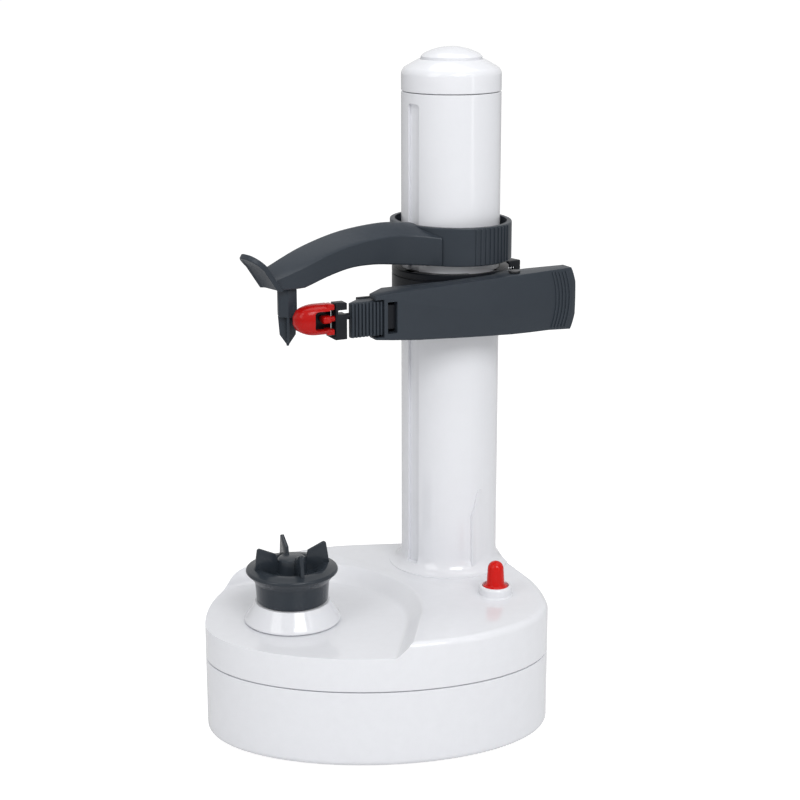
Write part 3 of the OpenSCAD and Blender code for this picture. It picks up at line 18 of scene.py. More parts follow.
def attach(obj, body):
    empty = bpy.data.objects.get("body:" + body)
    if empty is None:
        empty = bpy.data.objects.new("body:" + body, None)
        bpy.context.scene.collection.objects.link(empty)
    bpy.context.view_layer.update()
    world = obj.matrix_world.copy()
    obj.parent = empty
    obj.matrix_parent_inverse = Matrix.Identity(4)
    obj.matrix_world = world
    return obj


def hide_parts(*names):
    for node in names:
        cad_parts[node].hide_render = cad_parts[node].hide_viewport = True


logging.basicConfig(level=logging.INFO, format="%(levelname)s %(message)s")
LOG = logging.getLogger("peeler")

# Distance in millimetres below which two corners are one
DOUBLE = 0.002

# Leaves a piece where it is
STAY = Matrix()

# Puts an outline in Y and Z, drawn in plan, upright along X
ALONG_X = Matrix(((0, 0, 1, 0), (1, 0, 0, 0), (0, 1, 0, 0), (0, 0, 0, 1)))

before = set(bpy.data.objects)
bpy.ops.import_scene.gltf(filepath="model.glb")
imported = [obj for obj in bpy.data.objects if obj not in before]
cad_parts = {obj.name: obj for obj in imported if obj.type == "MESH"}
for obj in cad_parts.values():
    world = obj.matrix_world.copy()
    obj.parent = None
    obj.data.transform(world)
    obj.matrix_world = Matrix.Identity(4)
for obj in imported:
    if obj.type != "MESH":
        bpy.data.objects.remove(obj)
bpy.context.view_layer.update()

Point2 = tuple[float, float]
Point3 = tuple[float, float, float]
Piece = bpy.types.Object
Tree = bpy.types.NodeTree
Socket = bpy.types.NodeSocket


# ---------------------------------------------------------------- sizes that several pieces share


@dataclass(frozen=True)
class Layout:
    """Sizes of the object that more than one sub-assembly is built from, in millimetres."""

    parting_z: float = 35.0
    seam: float = 0.5
    deck_z: float = 57.0
    dish_z: float = 50.5
    spindle: Point2 = (-70.0, -60.0)
    button: Point2 = (20.0, -47.0)
    col_r: float = 22.2
    col_bore: float = 19.8
    seam_z: float = 275.8
    carriage_z: float = 173.0
    carriage_h: float = 25.0
    carriage_r: float = 26.5
    arm_z: float = 185.4
    arm_angle: float = -154.3
    pivot: Point2 = (-16.0, 31.0)
    tongue: Point2 = (3.5, 5.2)
    collar_z: float = 202.0
    collar_h: float = 17.0

    @property
    def spindle_turn(self) -> float:
        """Direction from the column to the spindle, in radians."""
        return math.atan2(self.spindle[1], self.spindle[0])

    @property
    def spindle_dist(self) -> float:
        """Distance from the column to the spindle."""
        return math.hypot(*self.spindle)

    @property
    def blade_frame(self) -> Matrix:
        """Matrix from the blade arm's own frame, whose +X points at the blade."""
        turn = Matrix.Rotation(math.radians(self.arm_angle), 4, "Z")
        return turn @ Matrix.Translation((self.pivot[0], self.pivot[1], 0))

    @property
    def upper_frame(self) -> Matrix:
        """Matrix from the frame whose +X points from the column at the spindle."""
        return Matrix.Rotation(self.spindle_turn, 4, "Z")


PLAN = Layout()


# ---------------------------------------------------------------- modelling with operators


class Join(Enum):
    """How one closed mesh acts on another."""

    CUT = "DIFFERENCE"
    ADD = "UNION"
    KEEP = "INTERSECT"


def only(obj: Piece) -> None:
    """Selects one object alone and makes it active.

    Args:
        obj: The object.
    """
    bpy.ops.object.select_all(action="DESELECT")
    obj.select_set(True)
    bpy.context.view_layer.objects.active = obj


def edit(obj: Piece, select: bool = True) -> None:
    """Enters edit mode on one object.

    Args:
        obj: The mesh object.
        select: Whether all of it starts selected.
    """
    only(obj)
    bpy.ops.object.mode_set(mode="EDIT")
    bpy.ops.mesh.select_all(action="SELECT" if select else "DESELECT")


def done() -> None:
    """Leaves edit mode."""
    bpy.ops.object.mode_set(mode="OBJECT")


def wire_loop(points: Sequence[Point3]) -> Piece:
    """A closed loop of edges in edit mode, all selected.

    Args:
        points: Corners of the loop, in order.

    Returns:
        The new object, left in edit mode.
    """
    bpy.ops.object.select_all(action="DESELECT")
    bpy.ops.mesh.primitive_circle_add(vertices=len(points), radius=1.0, fill_type="NOTHING")
    obj = bpy.context.object
    for vertex, point in zip(obj.data.vertices, points):
        vertex.co = point
    edit(obj)
    return obj


def tidy() -> None:
    """Merges doubles, turns all faces outwards and leaves edit mode."""
    bpy.ops.mesh.select_all(action="SELECT")
    bpy.ops.mesh.remove_doubles(threshold=DOUBLE)
    bpy.ops.mesh.normals_make_consistent(inside=False)
    done()


def spun(profile: Sequence[Point2], centre: Point2 = (0.0, 0.0), sides: int = 128) -> Piece:
    """A solid of revolution about a vertical axis.

    Args:
        profile: Closed outline of (radius, height) pairs.
        centre: Place of the axis.
        sides: Steps round the turn.

    Returns:
        The new object.
    """
    obj = wire_loop([(centre[0] + r, centre[1], z) for r, z in profile])
    bpy.ops.mesh.spin(
        steps=sides, angle=math.tau, center=(centre[0], centre[1], 0.0), axis=(0, 0, 1)
    )
    tidy()
    return obj


def prism(outline: Sequence[Point2], z0: float, z1: float, place: Matrix = STAY) -> Piece:
    """An outline drawn straight up.

    Args:
        outline: Corners in plan.
        z0: Height of the bottom.
        z1: Height of the top.
        place: Matrix that puts the prism in place.

    Returns:
        The new object.
    """
    obj = wire_loop([(x, y, z0) for x, y in outline])
    bpy.ops.mesh.edge_face_add()
    bpy.ops.mesh.extrude_region_move(TRANSFORM_OT_translate={"value": (0, 0, z1 - z0)})
    tidy()
    obj.data.transform(place)
    return obj


def side_prism(outline: Sequence[Point2], y0: float, y1: float) -> Piece:
    """An outline of (x, z) corners, drawn along Y from y0 to y1."""
    return prism(outline, -y1, -y0, Matrix.Rotation(math.radians(90), 4, "X"))


def lofted(rings: Sequence[Sequence[Point3]]) -> Piece:
    """A solid drawn through rings of equal length by extruding ring after ring.

    Args:
        rings: Corners of each ring, in order.

    Returns:
        The new object.
    """
    obj = wire_loop(rings[0])
    bpy.ops.mesh.edge_face_add()
    here = [Vector(p) for p in rings[0]]
    for ring in rings[1:]:
        bpy.ops.mesh.extrude_region_move(TRANSFORM_OT_translate={"value": (0, 0, 0)})
        mesh = bmesh.from_edit_mesh(obj.data)
        for vertex in [v for v in mesh.verts if v.select]:
            index = min(range(len(here)), key=lambda k: (here[k] - vertex.co).length_squared)
            vertex.co = ring[index]
        bmesh.update_edit_mesh(obj.data)
        here = [Vector(p) for p in ring]
    tidy()
    return obj


def block(low: Point3, high: Point3, place: Matrix = STAY) -> Piece:
    """A box between two corners.

    Args:
        low: Lowest corner.
        high: Highest corner.
        place: Matrix that puts the box in place.

    Returns:
        The new object.
    """
    bpy.ops.object.select_all(action="DESELECT")
    bpy.ops.mesh.primitive_cube_add(size=1.0)
    obj = bpy.context.object
    edit(obj)
    size = [b - a for a, b in zip(low, high)]
    middle = [(a + b) / 2 for a, b in zip(low, high)]
    bpy.ops.transform.resize(value=size, center_override=(0, 0, 0))
    bpy.ops.transform.translate(value=middle)
    done()
    obj.data.transform(place)
    return obj


def rod(radius: float, z0: float, z1: float, centre: Point2 = (0.0, 0.0), sides: int = 64,
        place: Matrix = STAY) -> Piece:
    """A vertical cylinder.

    Args:
        radius: Its radius.
        z0: Height of the bottom.
        z1: Height of the top.
        centre: Place of its axis.
        sides: Steps round it.
        place: Matrix that puts it in place.

    Returns:
        The new object.
    """
    bpy.ops.object.select_all(action="DESELECT")
    bpy.ops.mesh.primitive_cylinder_add(
        vertices=sides, radius=radius, depth=z1 - z0, location=(0, 0, 0)
    )
    obj = bpy.context.object
    obj.data.transform(Matrix.Translation((centre[0], centre[1], (z0 + z1) / 2)))
    obj.data.transform(place)
    return obj


def cross_rod(radius: float, x0: float, x1: float, at: Point3) -> Piece:
    """A cylinder along X between two distances from a point."""
    along = Matrix.Translation(at) @ Matrix.Rotation(math.pi / 2, 4, "Y")
    return rod(radius, x0, x1, sides=32, place=along)


def at_each(spots: Iterable[Point2], radius: float, z0: float, z1: float,
            sides: int = 40) -> list[Piece]:
    """Equal vertical cylinders, one at each place in plan."""
    return [rod(radius, z0, z1, spot, sides) for spot in spots]


def turned(degrees: float) -> Matrix:
    """Matrix that turns about the vertical."""
    return Matrix.Rotation(math.radians(degrees), 4, "Z")


def apply_all(obj: Piece) -> None:
    """Applies every modifier of an object, in order.

    Args:
        obj: The object.
    """
    only(obj)
    for modifier in list(obj.modifiers):
        bpy.ops.object.modifier_apply(modifier=modifier.name)


def combine(target: Piece, how: Join, *tools: Piece) -> Piece:
    """Cuts with, adds or keeps the overlap with each tool, which is used up.

    Args:
        target: The piece that changes.
        how: What the tools do to it.
        tools: Closed meshes.

    Returns:
        The target.
    """
    for tool in tools:
        modifier = target.modifiers.new(how.name, "BOOLEAN")
        modifier.operation = how.value
        modifier.solver = "EXACT"
        modifier.object = tool
        apply_all(target)
        bpy.data.objects.remove(tool, do_unlink=True)
    return target


def trimmed(obj: Piece, spot: Point3, away: Point3) -> Piece:
    """Cuts a closed piece at a plane and closes it again.

    Args:
        obj: The piece.
        spot: A point of the plane.
        away: Direction in which all is cleared.

    Returns:
        The piece.
    """
    edit(obj)
    bpy.ops.mesh.bisect(plane_co=spot, plane_no=away, use_fill=True, clear_outer=True)
    done()
    return obj


def merged(parts: Sequence[Piece]) -> Piece:
    """Several objects as one, without cutting them.

    Args:
        parts: The objects. The first takes up the others.

    Returns:
        The first object.
    """
    bpy.ops.object.select_all(action="DESELECT")
    for part in parts:
        part.select_set(True)
    bpy.context.view_layer.objects.active = parts[0]
    bpy.ops.object.join()
    return parts[0]


def rounded(obj: Piece, width: float, segments: int = 2, angle: float = 32.0) -> Piece:
    """Rounds the edges that turn by more than an angle.

    Args:
        obj: The piece.
        width: Width of the rounding.
        segments: Steps in it.
        angle: Smallest turn of an edge that is rounded, in degrees.

    Returns:
        The piece.
    """
    edit(obj)
    bpy.ops.mesh.remove_doubles(threshold=DOUBLE)
    bpy.ops.mesh.dissolve_limited(angle_limit=math.radians(0.3))
    done()
    bevel = obj.modifiers.new("rounding", "BEVEL")
    bevel.width = width
    bevel.segments = segments
    bevel.limit_method = "ANGLE"
    bevel.angle_limit = math.radians(angle)
    bevel.use_clamp_overlap = True
    bevel.miter_outer = "MITER_ARC"
    apply_all(obj)
    return obj


def repeated(obj: Piece, places: Iterable[Matrix]) -> list[Piece]:
    """Copies of a piece, each with its own mesh, which stand in for it.

    Args:
        obj: The piece, which is used up.
        places: Matrix of each copy.

    Returns:
        The copies.
    """
    twins = []
    for place in places:
        twin = obj.copy()
        twin.data = obj.data.copy()
        bpy.context.scene.collection.objects.link(twin)
        twin.data.transform(place)
        twins.append(twin)
    bpy.data.objects.remove(obj, do_unlink=True)
    return twins


def settle(obj: Piece, name: str, finish: "Finish", body: str, nodes: Iterable[str],
           smooth: float = 32.0) -> Piece:
    """Brings a finished piece to metres, dresses it and ties it to the frame.

    Args:
        obj: The piece, in millimetres.
        name: Its name.
        finish: Its material.
        body: The body that it rides on.
        nodes: The frame's nodes that it stands for.
        smooth: Largest turn between faces that is shaded smooth, in degrees.

    Returns:
        The piece.
    """
    obj.name = name
    obj.data.name = name
    obj.data.transform(Matrix.Scale(0.001, 4))
    obj.data.materials.clear()
    obj.data.materials.append(finish.material())
    only(obj)
    bpy.ops.object.shade_smooth_by_angle(angle=math.radians(smooth))
    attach(obj, body)
    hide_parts(*nodes)
    LOG.info("piece %s: %d faces on %s", name, len(obj.data.polygons), body)
    return obj


def ellipse(a: float, b: float, count: int = 120) -> list[Point2]:
    """Corners of an ellipse in plan."""
    return [(a * math.cos(k * math.tau / count), b * math.sin(k * math.tau / count)) for k in range(count)]


def arc(centre: Point2, radius: float, start: float, end: float, steps: int = 6) -> list[Point2]:
    """Points on an arc, for a profile.

    Args:
        centre: Its middle.
        radius: Its radius.
        start: First angle in degrees.
        end: Last angle in degrees.
        steps: Steps along it.

    Returns:
        The points, both ends included.
    """
    out = []
    for k in range(steps + 1):
        a = math.radians(start + (end - start) * k / steps)
        out.append((centre[0] + radius * math.cos(a), centre[1] + radius * math.sin(a)))
    return out


# ---------------------------------------------------------------- materials


class Effect(Enum):
    """Surface effects that several finishes share."""

    MOULDED = "moulded_surface"
    BRUSHED = "brushed_metal"
    SCUFFS = "fine_scuffs"


# Outputs of an effect that makes a whole surface
SURFACE = ("Colour", "Roughness", "Height")


def new_group(effect: Effect, inputs: dict[str, object], outputs: Sequence[str]) -> Tree:
    """An empty shader group with named sockets.

    Args:
        effect: Which effect it holds.
        inputs: Default of each input, a tuple for a colour.
        outputs: Name of each output.

    Returns:
        The node tree.
    """
    tree = bpy.data.node_groups.new(effect.value, "ShaderNodeTree")
    for name, value in inputs.items():
        kind = "NodeSocketColor" if isinstance(value, tuple) else "NodeSocketFloat"
        tree.interface.new_socket(name, in_out="INPUT", socket_type=kind).default_value = value
    for name in outputs:
        kind = "NodeSocketColor" if name == "Colour" else "NodeSocketFloat"
        tree.interface.new_socket(name, in_out="OUTPUT", socket_type=kind)
    tree.nodes.new("NodeGroupInput").name = "in"
    tree.nodes.new("NodeGroupOutput").name = "out"
    return tree


def feed(tree: Tree, value: object, target: Socket) -> None:
    """Gives an input a number, or links it to a socket.

    Args:
        tree: The node tree.
        value: The number or the socket.
        target: The input.
    """
    if isinstance(value, (int, float)):
        target.default_value = value
    else:
        tree.links.new(value, target)


def noise(tree: Tree, coordinate: Socket, scale: object, detail: float) -> Socket:
    """Noise in a tree, read at a coordinate.

    Args:
        tree: The node tree.
        coordinate: Socket that gives the place.
        scale: A number or a socket for the scale.
        detail: Octaves of the noise.

    Returns:
        The socket with the noise value.
    """
    node = tree.nodes.new("ShaderNodeTexNoise")
    tree.links.new(coordinate, node.inputs["Vector"])
    feed(tree, scale, node.inputs["Scale"])
    node.inputs["Detail"].default_value = detail
    return node.outputs["Fac"]


def math_node(tree: Tree, operation: str, *values: object) -> Socket:
    """A Math node fed with numbers or sockets.

    Args:
        tree: The node tree.
        operation: Name of the operation.
        values: A number or a socket for each input.

    Returns:
        The result's socket.
    """
    node = tree.nodes.new("ShaderNodeMath")
    node.operation = operation
    for target, value in zip(node.inputs, values):
        feed(tree, value, target)
    return node.outputs[0]


def shade(tree: Tree, colour: Socket, amount: Socket) -> Socket:
    """Multiplies a colour by a grey value.

    Args:
        tree: The node tree.
        colour: The colour.
        amount: The grey value.

    Returns:
        The darker or lighter colour.
    """
    grey = tree.nodes.new("ShaderNodeCombineColor")
    for k in range(3):
        tree.links.new(amount, grey.inputs[k])
    mix = tree.nodes.new("ShaderNodeMix")
    mix.data_type = "RGBA"
    mix.blend_type = "MULTIPLY"
    mix.inputs["Factor"].default_value = 1.0
    tree.links.new(colour, mix.inputs[6])
    tree.links.new(grey.outputs[0], mix.inputs[7])
    return mix.outputs[2]


def finish_group(tree: Tree, stray: Socket, lift: Socket, height: Socket) -> Tree:
    """Feeds the outputs of a surface effect.

    Args:
        tree: The effect's group.
        stray: How far the tone strays, around 0.
        lift: How far the gloss strays, around 0.
        height: Height of the fine relief.

    Returns:
        The group.
    """
    given, out = tree.nodes["in"].outputs, tree.nodes["out"].inputs
    tone = math_node(tree, "MULTIPLY_ADD", stray, given["Tone"], 1.0)
    tree.links.new(shade(tree, given["Colour"], tone), out["Colour"])
    rough = math_node(tree, "MULTIPLY_ADD", lift, given["Gloss Spread"], given["Roughness"])
    tree.links.new(rough, out["Roughness"])
    tree.links.new(height, out["Height"])
    return tree


def moulded_group() -> Tree:
    """Plastic from a mould: cloudy tone, eroded grain and uneven gloss.

    Returns:
        The group.
    """
    tree = new_group(Effect.MOULDED, {
        "Colour": (0.8, 0.8, 0.8, 1), "Tone": 0.04, "Cloud Scale": 30.0, "Grain Scale": 2500.0,
        "Roughness": 0.3, "Gloss Spread": 0.05}, SURFACE)
    given = tree.nodes["in"].outputs
    place = tree.nodes.new("ShaderNodeTexCoord").outputs["Object"]
    cloud = noise(tree, place, given["Cloud Scale"], 4.0)
    grain = noise(tree, place, given["Grain Scale"], 2.0)
    lift = math_node(tree, "SUBTRACT", cloud, 0.5)
    fine = math_node(tree, "MULTIPLY", math_node(tree, "SUBTRACT", grain, 0.5), 0.5)
    return finish_group(tree, math_node(tree, "ADD", lift, fine), lift, grain)


def brushed_group() -> Tree:
    """Metal with drawn lines along one direction.

    Returns:
        The group.
    """
    tree = new_group(Effect.BRUSHED, {
        "Colour": (0.6, 0.6, 0.6, 1), "Tone": 0.1, "Line Scale": 900.0, "Stretch": 0.04,
        "Roughness": 0.3, "Gloss Spread": 0.15}, SURFACE)
    given = tree.nodes["in"].outputs
    place = tree.nodes.new("ShaderNodeTexCoord").outputs["Object"]
    apart = tree.nodes.new("ShaderNodeSeparateXYZ")
    tree.links.new(place, apart.inputs[0])
    back = tree.nodes.new("ShaderNodeCombineXYZ")
    tree.links.new(apart.outputs["X"], back.inputs["X"])
    tree.links.new(apart.outputs["Y"], back.inputs["Y"])
    tree.links.new(math_node(tree, "MULTIPLY", apart.outputs["Z"], given["Stretch"]), back.inputs["Z"])
    lines = noise(tree, back.outputs[0], given["Line Scale"], 3.0)
    cloud = noise(tree, place, 60.0, 3.0)
    lift = math_node(tree, "SUBTRACT", lines, 0.5)
    both = math_node(tree, "ADD", lift, math_node(tree, "SUBTRACT", cloud, 0.5))
    return finish_group(tree, both, lift, lines)


def scuffs_group() -> Tree:
    """Sparse, soft wipe marks, given as a mask from 0 to 1.

    Returns:
        The group.
    """
    tree = new_group(Effect.SCUFFS, {"Scale": 40.0, "Amount": 0.5}, ("Mask",))
    given = tree.nodes["in"].outputs
    place = tree.nodes.new("ShaderNodeTexCoord").outputs["Object"]
    mapping = tree.nodes.new("ShaderNodeMapping")
    mapping.inputs["Rotation"].default_value = (0.35, 0.6, 0.9)
    mapping.inputs["Scale"].default_value = (1.0, 14.0, 3.0)
    tree.links.new(place, mapping.inputs["Vector"])
    streaks = noise(tree, mapping.outputs[0], given["Scale"], 5.0)
    patches = noise(tree, place, 18.0, 2.0)
    over = math_node(tree, "MAXIMUM", math_node(tree, "SUBTRACT", streaks, 0.52), 0.0)
    soft = math_node(tree, "MULTIPLY", math_node(tree, "MULTIPLY", over, 5.0), patches)
    mask = math_node(tree, "MULTIPLY", soft, given["Amount"])
    tree.links.new(mask, tree.nodes["out"].inputs["Mask"])
    return tree


BUILDERS: dict[Effect, Callable[[], Tree]] = {
    Effect.MOULDED: moulded_group,
    Effect.BRUSHED: brushed_group,
    Effect.SCUFFS: scuffs_group,
}


def effect_node(tree: Tree, effect: Effect, values: dict[str, object]) -> bpy.types.Node:
    """Places a shared effect in a material, with its own values.

    Args:
        tree: The material's node tree.
        effect: Which effect.
        values: Value of each input that differs from the default.

    Returns:
        The group node.
    """
    group = bpy.data.node_groups.get(effect.value) or BUILDERS[effect]()
    node = tree.nodes.new("ShaderNodeGroup")
    node.node_tree = group
    for name, value in values.items():
        node.inputs[name].default_value = value
    return node


@dataclass(frozen=True)
class Finish:
    """A surface finish and the values of its effects.

    A finish with a Stretch below 1 is a metal with drawn lines, and any other is moulded.
    """

    name: str
    slot: str
    colour: Point3
    roughness: float
    tone: float = 0.05
    spread: float = 0.06
    cloud: float = 30.0
    grain: float = 2500.0
    bump: float = 0.05
    metallic: float = 0.0
    coat: float = 0.0
    stretch: float = 1.0
    scuffs: float = 0.0
    specular: float = 0.5

    def material(self) -> bpy.types.Material:
        """The material of this finish, made on first use.

        Returns:
            The material.
        """
        made = bpy.data.materials.get(self.name)
        if made is not None:
            return made
        made = bpy.data.materials.new(self.name)
        made.use_nodes = True
        made.diffuse_color = (*self.colour, 1)
        tree = made.node_tree
        shader = tree.nodes["Principled BSDF"]
        for socket, value in (("Metallic", self.metallic), ("Coat Weight", self.coat),
                              ("Coat Roughness", 0.08), ("Specular IOR Level", self.specular)):
            shader.inputs[socket].default_value = value
        values = {"Colour": (*self.colour, 1), "Tone": self.tone, "Roughness": self.roughness,
                  "Gloss Spread": self.spread}
        if self.stretch < 1.0:
            values.update({"Line Scale": self.grain, "Stretch": self.stretch})
            surface = effect_node(tree, Effect.BRUSHED, values)
        else:
            values.update({"Cloud Scale": self.cloud, "Grain Scale": self.grain})
            surface = effect_node(tree, Effect.MOULDED, values)
        tree.links.new(surface.outputs["Colour"], shader.inputs["Base Color"])
        rough = surface.outputs["Roughness"]
        if self.scuffs > 0:
            marks = effect_node(tree, Effect.SCUFFS, {"Amount": self.scuffs})
            rough = math_node(tree, "ADD", rough, marks.outputs["Mask"])
        tree.links.new(rough, shader.inputs["Roughness"])
        bump = tree.nodes.new("ShaderNodeBump")
        bump.inputs["Strength"].default_value = self.bump
        bump.inputs["Distance"].default_value = 0.0002
        tree.links.new(surface.outputs["Height"], bump.inputs["Height"])
        tree.links.new(bump.outputs["Normal"], shader.inputs["Normal"])
        return made


WHITE = Finish("white_moulding", "white_plastic", (0.79, 0.80, 0.835), 0.11, tone=0.03, spread=0.04,
               cloud=160.0, grain=900.0, bump=0.02, coat=0.1, scuffs=0.02)
SHELL = Finish("white_shell", "white_plastic", (0.79, 0.80, 0.835), 0.12, tone=0.05, spread=0.05,
               cloud=240.0, grain=1400.0, bump=0.03, coat=0.1, scuffs=0.02)
SLATE = Finish("slate_moulding", "slate_plastic", (0.030, 0.038, 0.049), 0.38, tone=0.16, spread=0.1,
               cloud=70.0, grain=2200.0, bump=0.16, specular=0.24, scuffs=0.06)
CUP = Finish("slate_cup", "slate_plastic", (0.026, 0.033, 0.042), 0.2, tone=0.12, spread=0.07,
             cloud=80.0, grain=1800.0, bump=0.08, specular=0.28, scuffs=0.05)
BLACK = Finish("black_moulding", "black_plastic", (0.009, 0.0105, 0.014), 0.34, tone=0.2, spread=0.1,
               cloud=90.0, grain=2400.0, bump=0.15, specular=0.18)
RED = Finish("red_moulding", "red_plastic", (0.62, 0.005, 0.002), 0.2, tone=0.08, spread=0.05,
             cloud=120.0, grain=1500.0, bump=0.03, coat=0.05, specular=0.2)
# The same red plastic painted darker on the guard: painted shade that stands in for the shade on its nose and
# underside
SHADED_GUARD_RED = replace(RED, name="red_guard_painted_shade", colour=(0.44, 0.004, 0.003))
RUBBER = Finish("grip_rubber", "rubber", (0.022, 0.022, 0.024), 0.7, tone=0.2, spread=0.12,
                cloud=150.0, grain=3000.0, bump=0.35)
STEEL = Finish("drawn_steel", "steel", (0.60, 0.61, 0.63), 0.3, tone=0.12, spread=0.16, grain=1600.0,
               bump=0.08, metallic=1.0, stretch=0.05)
BLADE = Finish("ground_steel", "steel", (0.66, 0.67, 0.69), 0.22, tone=0.1, spread=0.14, grain=2600.0,
               bump=0.06, metallic=1.0, stretch=0.08)
OXIDE = Finish("oxide_steel", "steel", (0.05, 0.052, 0.056), 0.38, tone=0.12, spread=0.1, grain=1500.0,
               bump=0.05, metallic=0.7, stretch=0.3)
BRASS = Finish("turned_brass", "brass", (0.62, 0.46, 0.2), 0.32, tone=0.14, spread=0.14, grain=1400.0,
               bump=0.07, metallic=1.0, stretch=0.3)
GEAR = Finish("gear_moulding", "gear_plastic", (0.68, 0.63, 0.50), 0.42, tone=0.07, spread=0.08,
              cloud=60.0, grain=1800.0, bump=0.08)
WRAP = Finish("cell_wrap", "cell_wrap", (0.03, 0.03, 0.035), 0.25, tone=0.15, spread=0.06,
              cloud=100.0, grain=1200.0, bump=0.04, coat=0.2)


# ---------------------------------------------------------------- base


@dataclass
class BaseShells:
    """The two shells of the oval base, with the dish, the button's collar and the battery bay."""

    half_w: float = 75.8
    front_d: float = 46.5
    back_d: float = 79.5
    front_square: float = 2.0
    back_square: float = 2.2
    turn: float = 4.5
    middle: Point2 = (-32.7, -58.6)
    lobe_r: float = 24.5
    wall: float = 2.5
    edge_r: float = 3.0
    floor_r: float = 51.0
    top_r: float = 57.2
    dish_at: Point2 = (-70.0, -63.4)
    run: Point2 = (-4.39, -39.76)
    foot_stand: float = 1.0
    collar_r: float = 7.4
    collar_h: float = 4.4
    bay_low: Point2 = (-86.0, -83.0)
    bay_high: Point2 = (-28.2, -22.2)
    door_lip: float = 2.5
    hole_r: float = 6.22
    stud_r: float = 4.2
    post_r: float = 3.4
    post_top: float = 31.0
    inner_floor: float = 3.4
    bay_wall: float = 1.6
    bay_roof: float = 20.0
    door_pad: float = 1.5
    door_grooves: int = 7
    bosses: tuple[Point2, ...] = ((-45, -97), (24, -71), (26, -22), (-98, -37))
    posts: tuple[Point2, ...] = ((-74, -44), (-46, -50), (-2, -49), (13, -13))
    feet: tuple[Point2, ...] = ((0, 0), (16, -80), (-58, -94), (-66, 0), (-99, -56))
    motor: Point2 = (-13.223, -71.427)
    sides: int = 180

    def point(self, t: float) -> Point2:
        """Point of the plan where it faces one way.

        Args:
            t: Direction of the outward normal, in radians.

        Returns:
            The point.
        """
        turn = math.radians(self.turn)
        c, s = math.cos(t - turn), math.sin(t - turn)
        depth, square = (self.back_d, self.back_square) if s > 0 else (self.front_d, self.front_square)
        u = abs(self.half_w * c) ** (1 / (square - 1))
        v = abs(depth * s) ** (1 / (square - 1))
        size = (u ** square + v ** square) ** (1 / square)
        x = self.half_w * math.copysign(u, c) / size
        y = depth * math.copysign(v, s) / size
        px = self.middle[0] + x * math.cos(turn) - y * math.sin(turn)
        py = self.middle[1] + x * math.sin(turn) + y * math.cos(turn)
        if px * math.cos(t) + py * math.sin(t) > self.lobe_r:
            return px, py
        return self.lobe_r * math.cos(t), self.lobe_r * math.sin(t)

    def outline(self, inset: float) -> list[Point2]:
        """Corners of the base's plan.

        Args:
            inset: How far they are moved in.

        Returns:
            The corners.
        """
        out = []
        for k in range(self.sides):
            t = (k + 0.5) * math.tau / self.sides
            x, y = self.point(t)
            out.append((x - inset * math.cos(t), y - inset * math.sin(t)))
        return out

    def ring(self, inset: float, z: float) -> list[Point3]:
        """The plan at one inset and height."""
        return [(x, y, z) for x, y in self.outline(inset)]

    def dish_ring(self, radius: float, z: float) -> list[Point3]:
        """The dish's plan at one height.

        Args:
            radius: Its radius there.
            z: The height.

        Returns:
            The ring's corners.
        """
        out = []
        for k in range(self.sides):
            t = (k + 0.5) * math.tau / self.sides
            c, s = math.cos(t), math.sin(t)
            far = self.run if c * self.run[0] + s * self.run[1] > 0 else (0.0, 0.0)
            out.append((self.dish_at[0] + far[0] + radius * c, self.dish_at[1] + far[1] + radius * s, z))
        return out

    def build_top(self) -> None:
        """Models the upper shell and ties it to the frame."""
        seam_z = PLAN.parting_z + PLAN.seam
        rings = [self.ring(0.3, seam_z), self.ring(0.0, seam_z + 0.3)]
        for a in range(0, 91, 15):
            lean = math.radians(a)
            rings.append(self.ring(self.edge_r * (1 - math.cos(lean)),
                                   PLAN.deck_z - self.edge_r * (1 - math.sin(lean))))
        shell = lofted(rings)
        deck, floor = PLAN.deck_z, PLAN.dish_z
        slope = (self.top_r - self.floor_r) / (deck - floor)
        bottom = ((-1.6, 0.0), (-0.5, 0.16), (0.35, 0.7), (slope * 1.4, 1.4))
        brink = ((-0.6, -0.65), (0.1, -0.16), (1.0, 0.02), (1.0, 4))
        dish = lofted([self.dish_ring(self.floor_r + out, floor + up) for out, up in bottom]
                      + [self.dish_ring(self.top_r + out, deck + up) for out, up in brink])
        combine(shell, Join.CUT, dish)
        self.soften_open_edge(shell)
        r, top = self.collar_r, deck + self.collar_h
        collar = spun([(0, deck - 1), (r + 0.5, deck - 1), (r + 0.5, deck + 0.05), (r, deck + 0.6),
                       *arc((r - 1.3, top - 1.2), 1.2, 0, 90, 4), (0, top)], PLAN.button, 72)
        combine(shell, Join.ADD, collar)
        hollow = lofted([self.ring(self.wall, seam_z - 1), self.ring(self.wall, floor - self.wall)])
        well = spun([(0, 53), (5.85, 53), (5.85, 61), (6.3, 62), (0, 62)], PLAN.button, 72)
        combine(shell, Join.CUT, hollow, well, rod(2.3, 45, 56, PLAN.button),
                rod(self.hole_r, 40, 60, PLAN.spindle), rod(7.4, 40, 60))
        lip = prism(self.outline(self.wall + 0.15), seam_z - 3, seam_z + 4)
        combine(lip, Join.CUT, prism(self.outline(self.wall + 1.55), seam_z - 4, seam_z + 5))
        studs = at_each(self.bosses, self.stud_r, PLAN.parting_z - 3, 49)
        settle(merged([shell, lip, *studs]), "upper_shell", SHELL, "frame", ["base_top"], 28)

